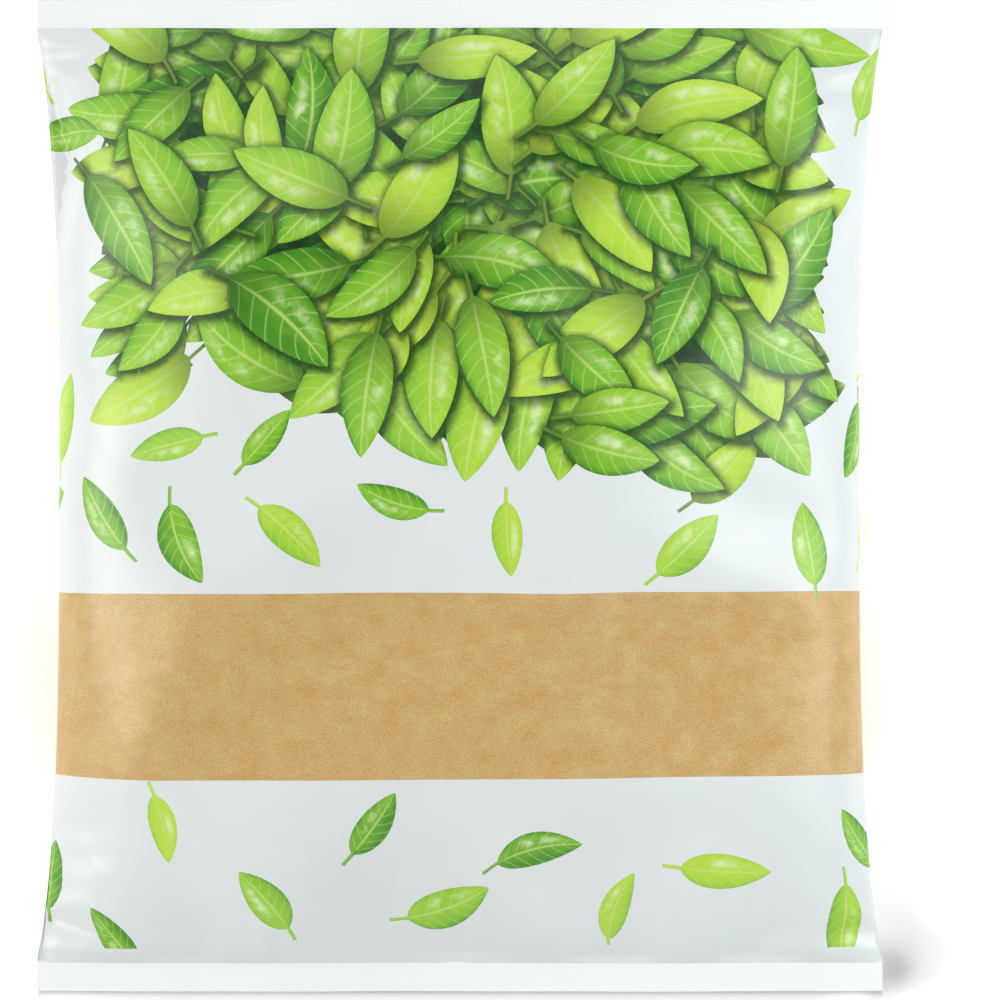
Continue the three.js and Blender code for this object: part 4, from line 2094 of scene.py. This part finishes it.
@dataclass(frozen=True)
class SoftBox:
    """A soft box aimed at the bag. Its place and size are in metres, its power in watts."""

    name: str
    place: Point
    size: Pair
    power: float
    colour: str

    def build(self) -> None:
        """Hangs the lamp."""
        lamp = bpy.data.lights.new(self.name, "AREA")
        lamp.shape = "RECTANGLE"
        lamp.size, lamp.size_y = self.size
        lamp.energy, lamp.color = self.power, linear(self.colour)[:3]
        made = put_in_scene(self.name, lamp)
        made.location = self.place
        made.rotation_euler = (-Vector(self.place)).to_track_quat("-Z", "Y").to_euler()


@dataclass
class Studio:
    """White paper floor, two soft boxes, and the camera straight above.

    The light table drowns the bag's own contact shadow. A black card and two gels just over the
    floor, out of the camera's sight, bring it back.
    """

    sizes: BagSizes
    lens: float = 120.0
    sensor: float = 36.0
    seen_width: float = 248.1  # how much the camera takes in across, at the seals' height
    centre: Pair = (10.0, -1.1)
    near: float = 0.05  # the camera's range, in metres
    far: float = 20.0
    floor_half: float = 2000.0
    floor_level: float = -0.2
    room_light: float = 0.90
    room_colour: str = "#FDFFFF"
    dark_part: float = 0.12  # how bright the room is straight above, beside its walls
    dark_from: float = 0.8
    dark_full: float = 0.95
    window_side: float = 0.14  # how much brighter the room is beyond the bag's top
    soft_boxes: tuple[SoftBox, ...] = (
        SoftBox("left_soft_box", (-1.0, -0.02, 0.74), (0.5, 0.5), 5.4, "#FFFAF1"),
        SoftBox("right_soft_box", (0.33, 0.04, 0.25), (0.22, 0.14), 0.45, "#FFFFFF"),
    )
    # a black sheet, out of the camera's sight, that casts the dark shadow on the paper beside the bottom
    # seal's right-hand corner
    card: tuple[Point, ...] = (
        (106, -125.8, 2.8), (112, -123.2, 3.6), (119.5, -117, 5.6), (116, -110.5, 7.6), (106, -107.5, 8.6)
    )
    gel: tuple[Point, ...] = (
        (-106.7, 126.8, -0.1), (106.5, 126.8, -0.1), (104.5, 116, -0.1), (-104.5, 116, -0.1)
    )

    def build(self) -> None:
        """Sets up the floor, the lights, the card, the gels and the camera."""
        half = self.floor_half
        square = ((-half, -half, 0), (half, -half, 0), (half, half, 0), (-half, half, 0))
        paper = self.sheet("paper_floor", square, StudioPaper())
        paper.location.z = self.floor_level * METRE
        for box in self.soft_boxes:
            box.build()
        below = tuple((x, -y, z) for x, y, z in self.gel)
        for name, corners, finish in (
            ("corner_card", self.card, StudioPaper("black_card", "#0B0B0B", "#080808", 0.0)),
            ("top_seal_gel", self.gel, GreyGel()),
            ("bottom_seal_gel", below, GreyGel()),
        ):
            made = self.sheet(name, corners, finish)
            made.visible_camera = made.visible_glossy = False
        self.surroundings()
        self.camera()

    def sheet(self, name: str, corners: tuple[Point, ...], finish: Finish) -> bpy.types.Object:
        """Lays a flat sheet of the stage.

        Args:
            name: its name.
            corners: its corners in millimetres.
            finish: what it is made of.

        Returns:
            The object.
        """
        fan = [(0, k, k + 1) for k in range(1, len(corners) - 1)]
        made = add_mesh(name, corners, fan, smooth=False)
        made.data.materials.append(finish.material())
        return made

    def surroundings(self) -> None:
        """A white room, dark straight above where the camera hangs, so that the film isn't hazed over."""
        world = bpy.data.worlds.new("white_room")
        world.use_nodes = True
        tree = world.node_tree
        tree.nodes.clear()
        way = add_node(tree, "TexCoord").outputs["Generated"]
        parts = add_node(tree, "SeparateXYZ", links={"Vector": way}).outputs
        settings = {"operation": "MULTIPLY_ADD", 1: self.window_side, 2: 1.0}
        tall = add_node(tree, "Math", settings, {0: parts["Y"]})
        white = linear(self.room_colour)[:3]
        wall, ceiling = (
            tuple(c * level for c in white) + (1.0,)
            for level in (self.room_light, self.room_light * self.dark_part)
        )
        settings = {"stops": [(self.dark_from, wall), (self.dark_full, ceiling)], "blend": Blend.EASED}
        light = add_node(tree, "ValToRGB", settings, {"Fac": parts["Z"]})
        sky = add_node(tree, "Background", links={"Color": light, "Strength": tall})
        add_node(tree, "OutputWorld", links={"Surface": sky})
        bpy.context.scene.world = world
        bpy.context.scene.view_settings.view_transform = "Standard"

    def camera(self) -> None:
        """The camera looks straight down on the bag."""
        data = bpy.data.cameras.new("overhead_camera")
        data.lens, data.sensor_width = self.lens, self.sensor
        data.clip_start, data.clip_end = self.near, self.far
        made = put_in_scene(data.name, data)
        away = self.lens / self.sensor * self.seen_width + self.sizes.seal_level
        made.location = (self.centre[0] * METRE, self.centre[1] * METRE, away * METRE)
        bpy.context.scene.camera = made


def main() -> None:
    """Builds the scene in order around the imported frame, and reports each piece."""
    logging.basicConfig(level=logging.INFO, format="%(name)s: %(message)s")
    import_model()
    sizes = BagSizes.from_frame()
    Studio(sizes).build()
    sleeve = FilmSleeve(sizes)
    sleeve.settle()
    surface = FilmSurface(sleeve)
    for piece in (*FilmBag(sizes, surface).build(), EdamameHeap(FilmRoom(surface)).build()):
        LOG.info("%s: %d triangles", piece.name, len(piece.data.polygons))


if __name__ == "__main__":
    main()
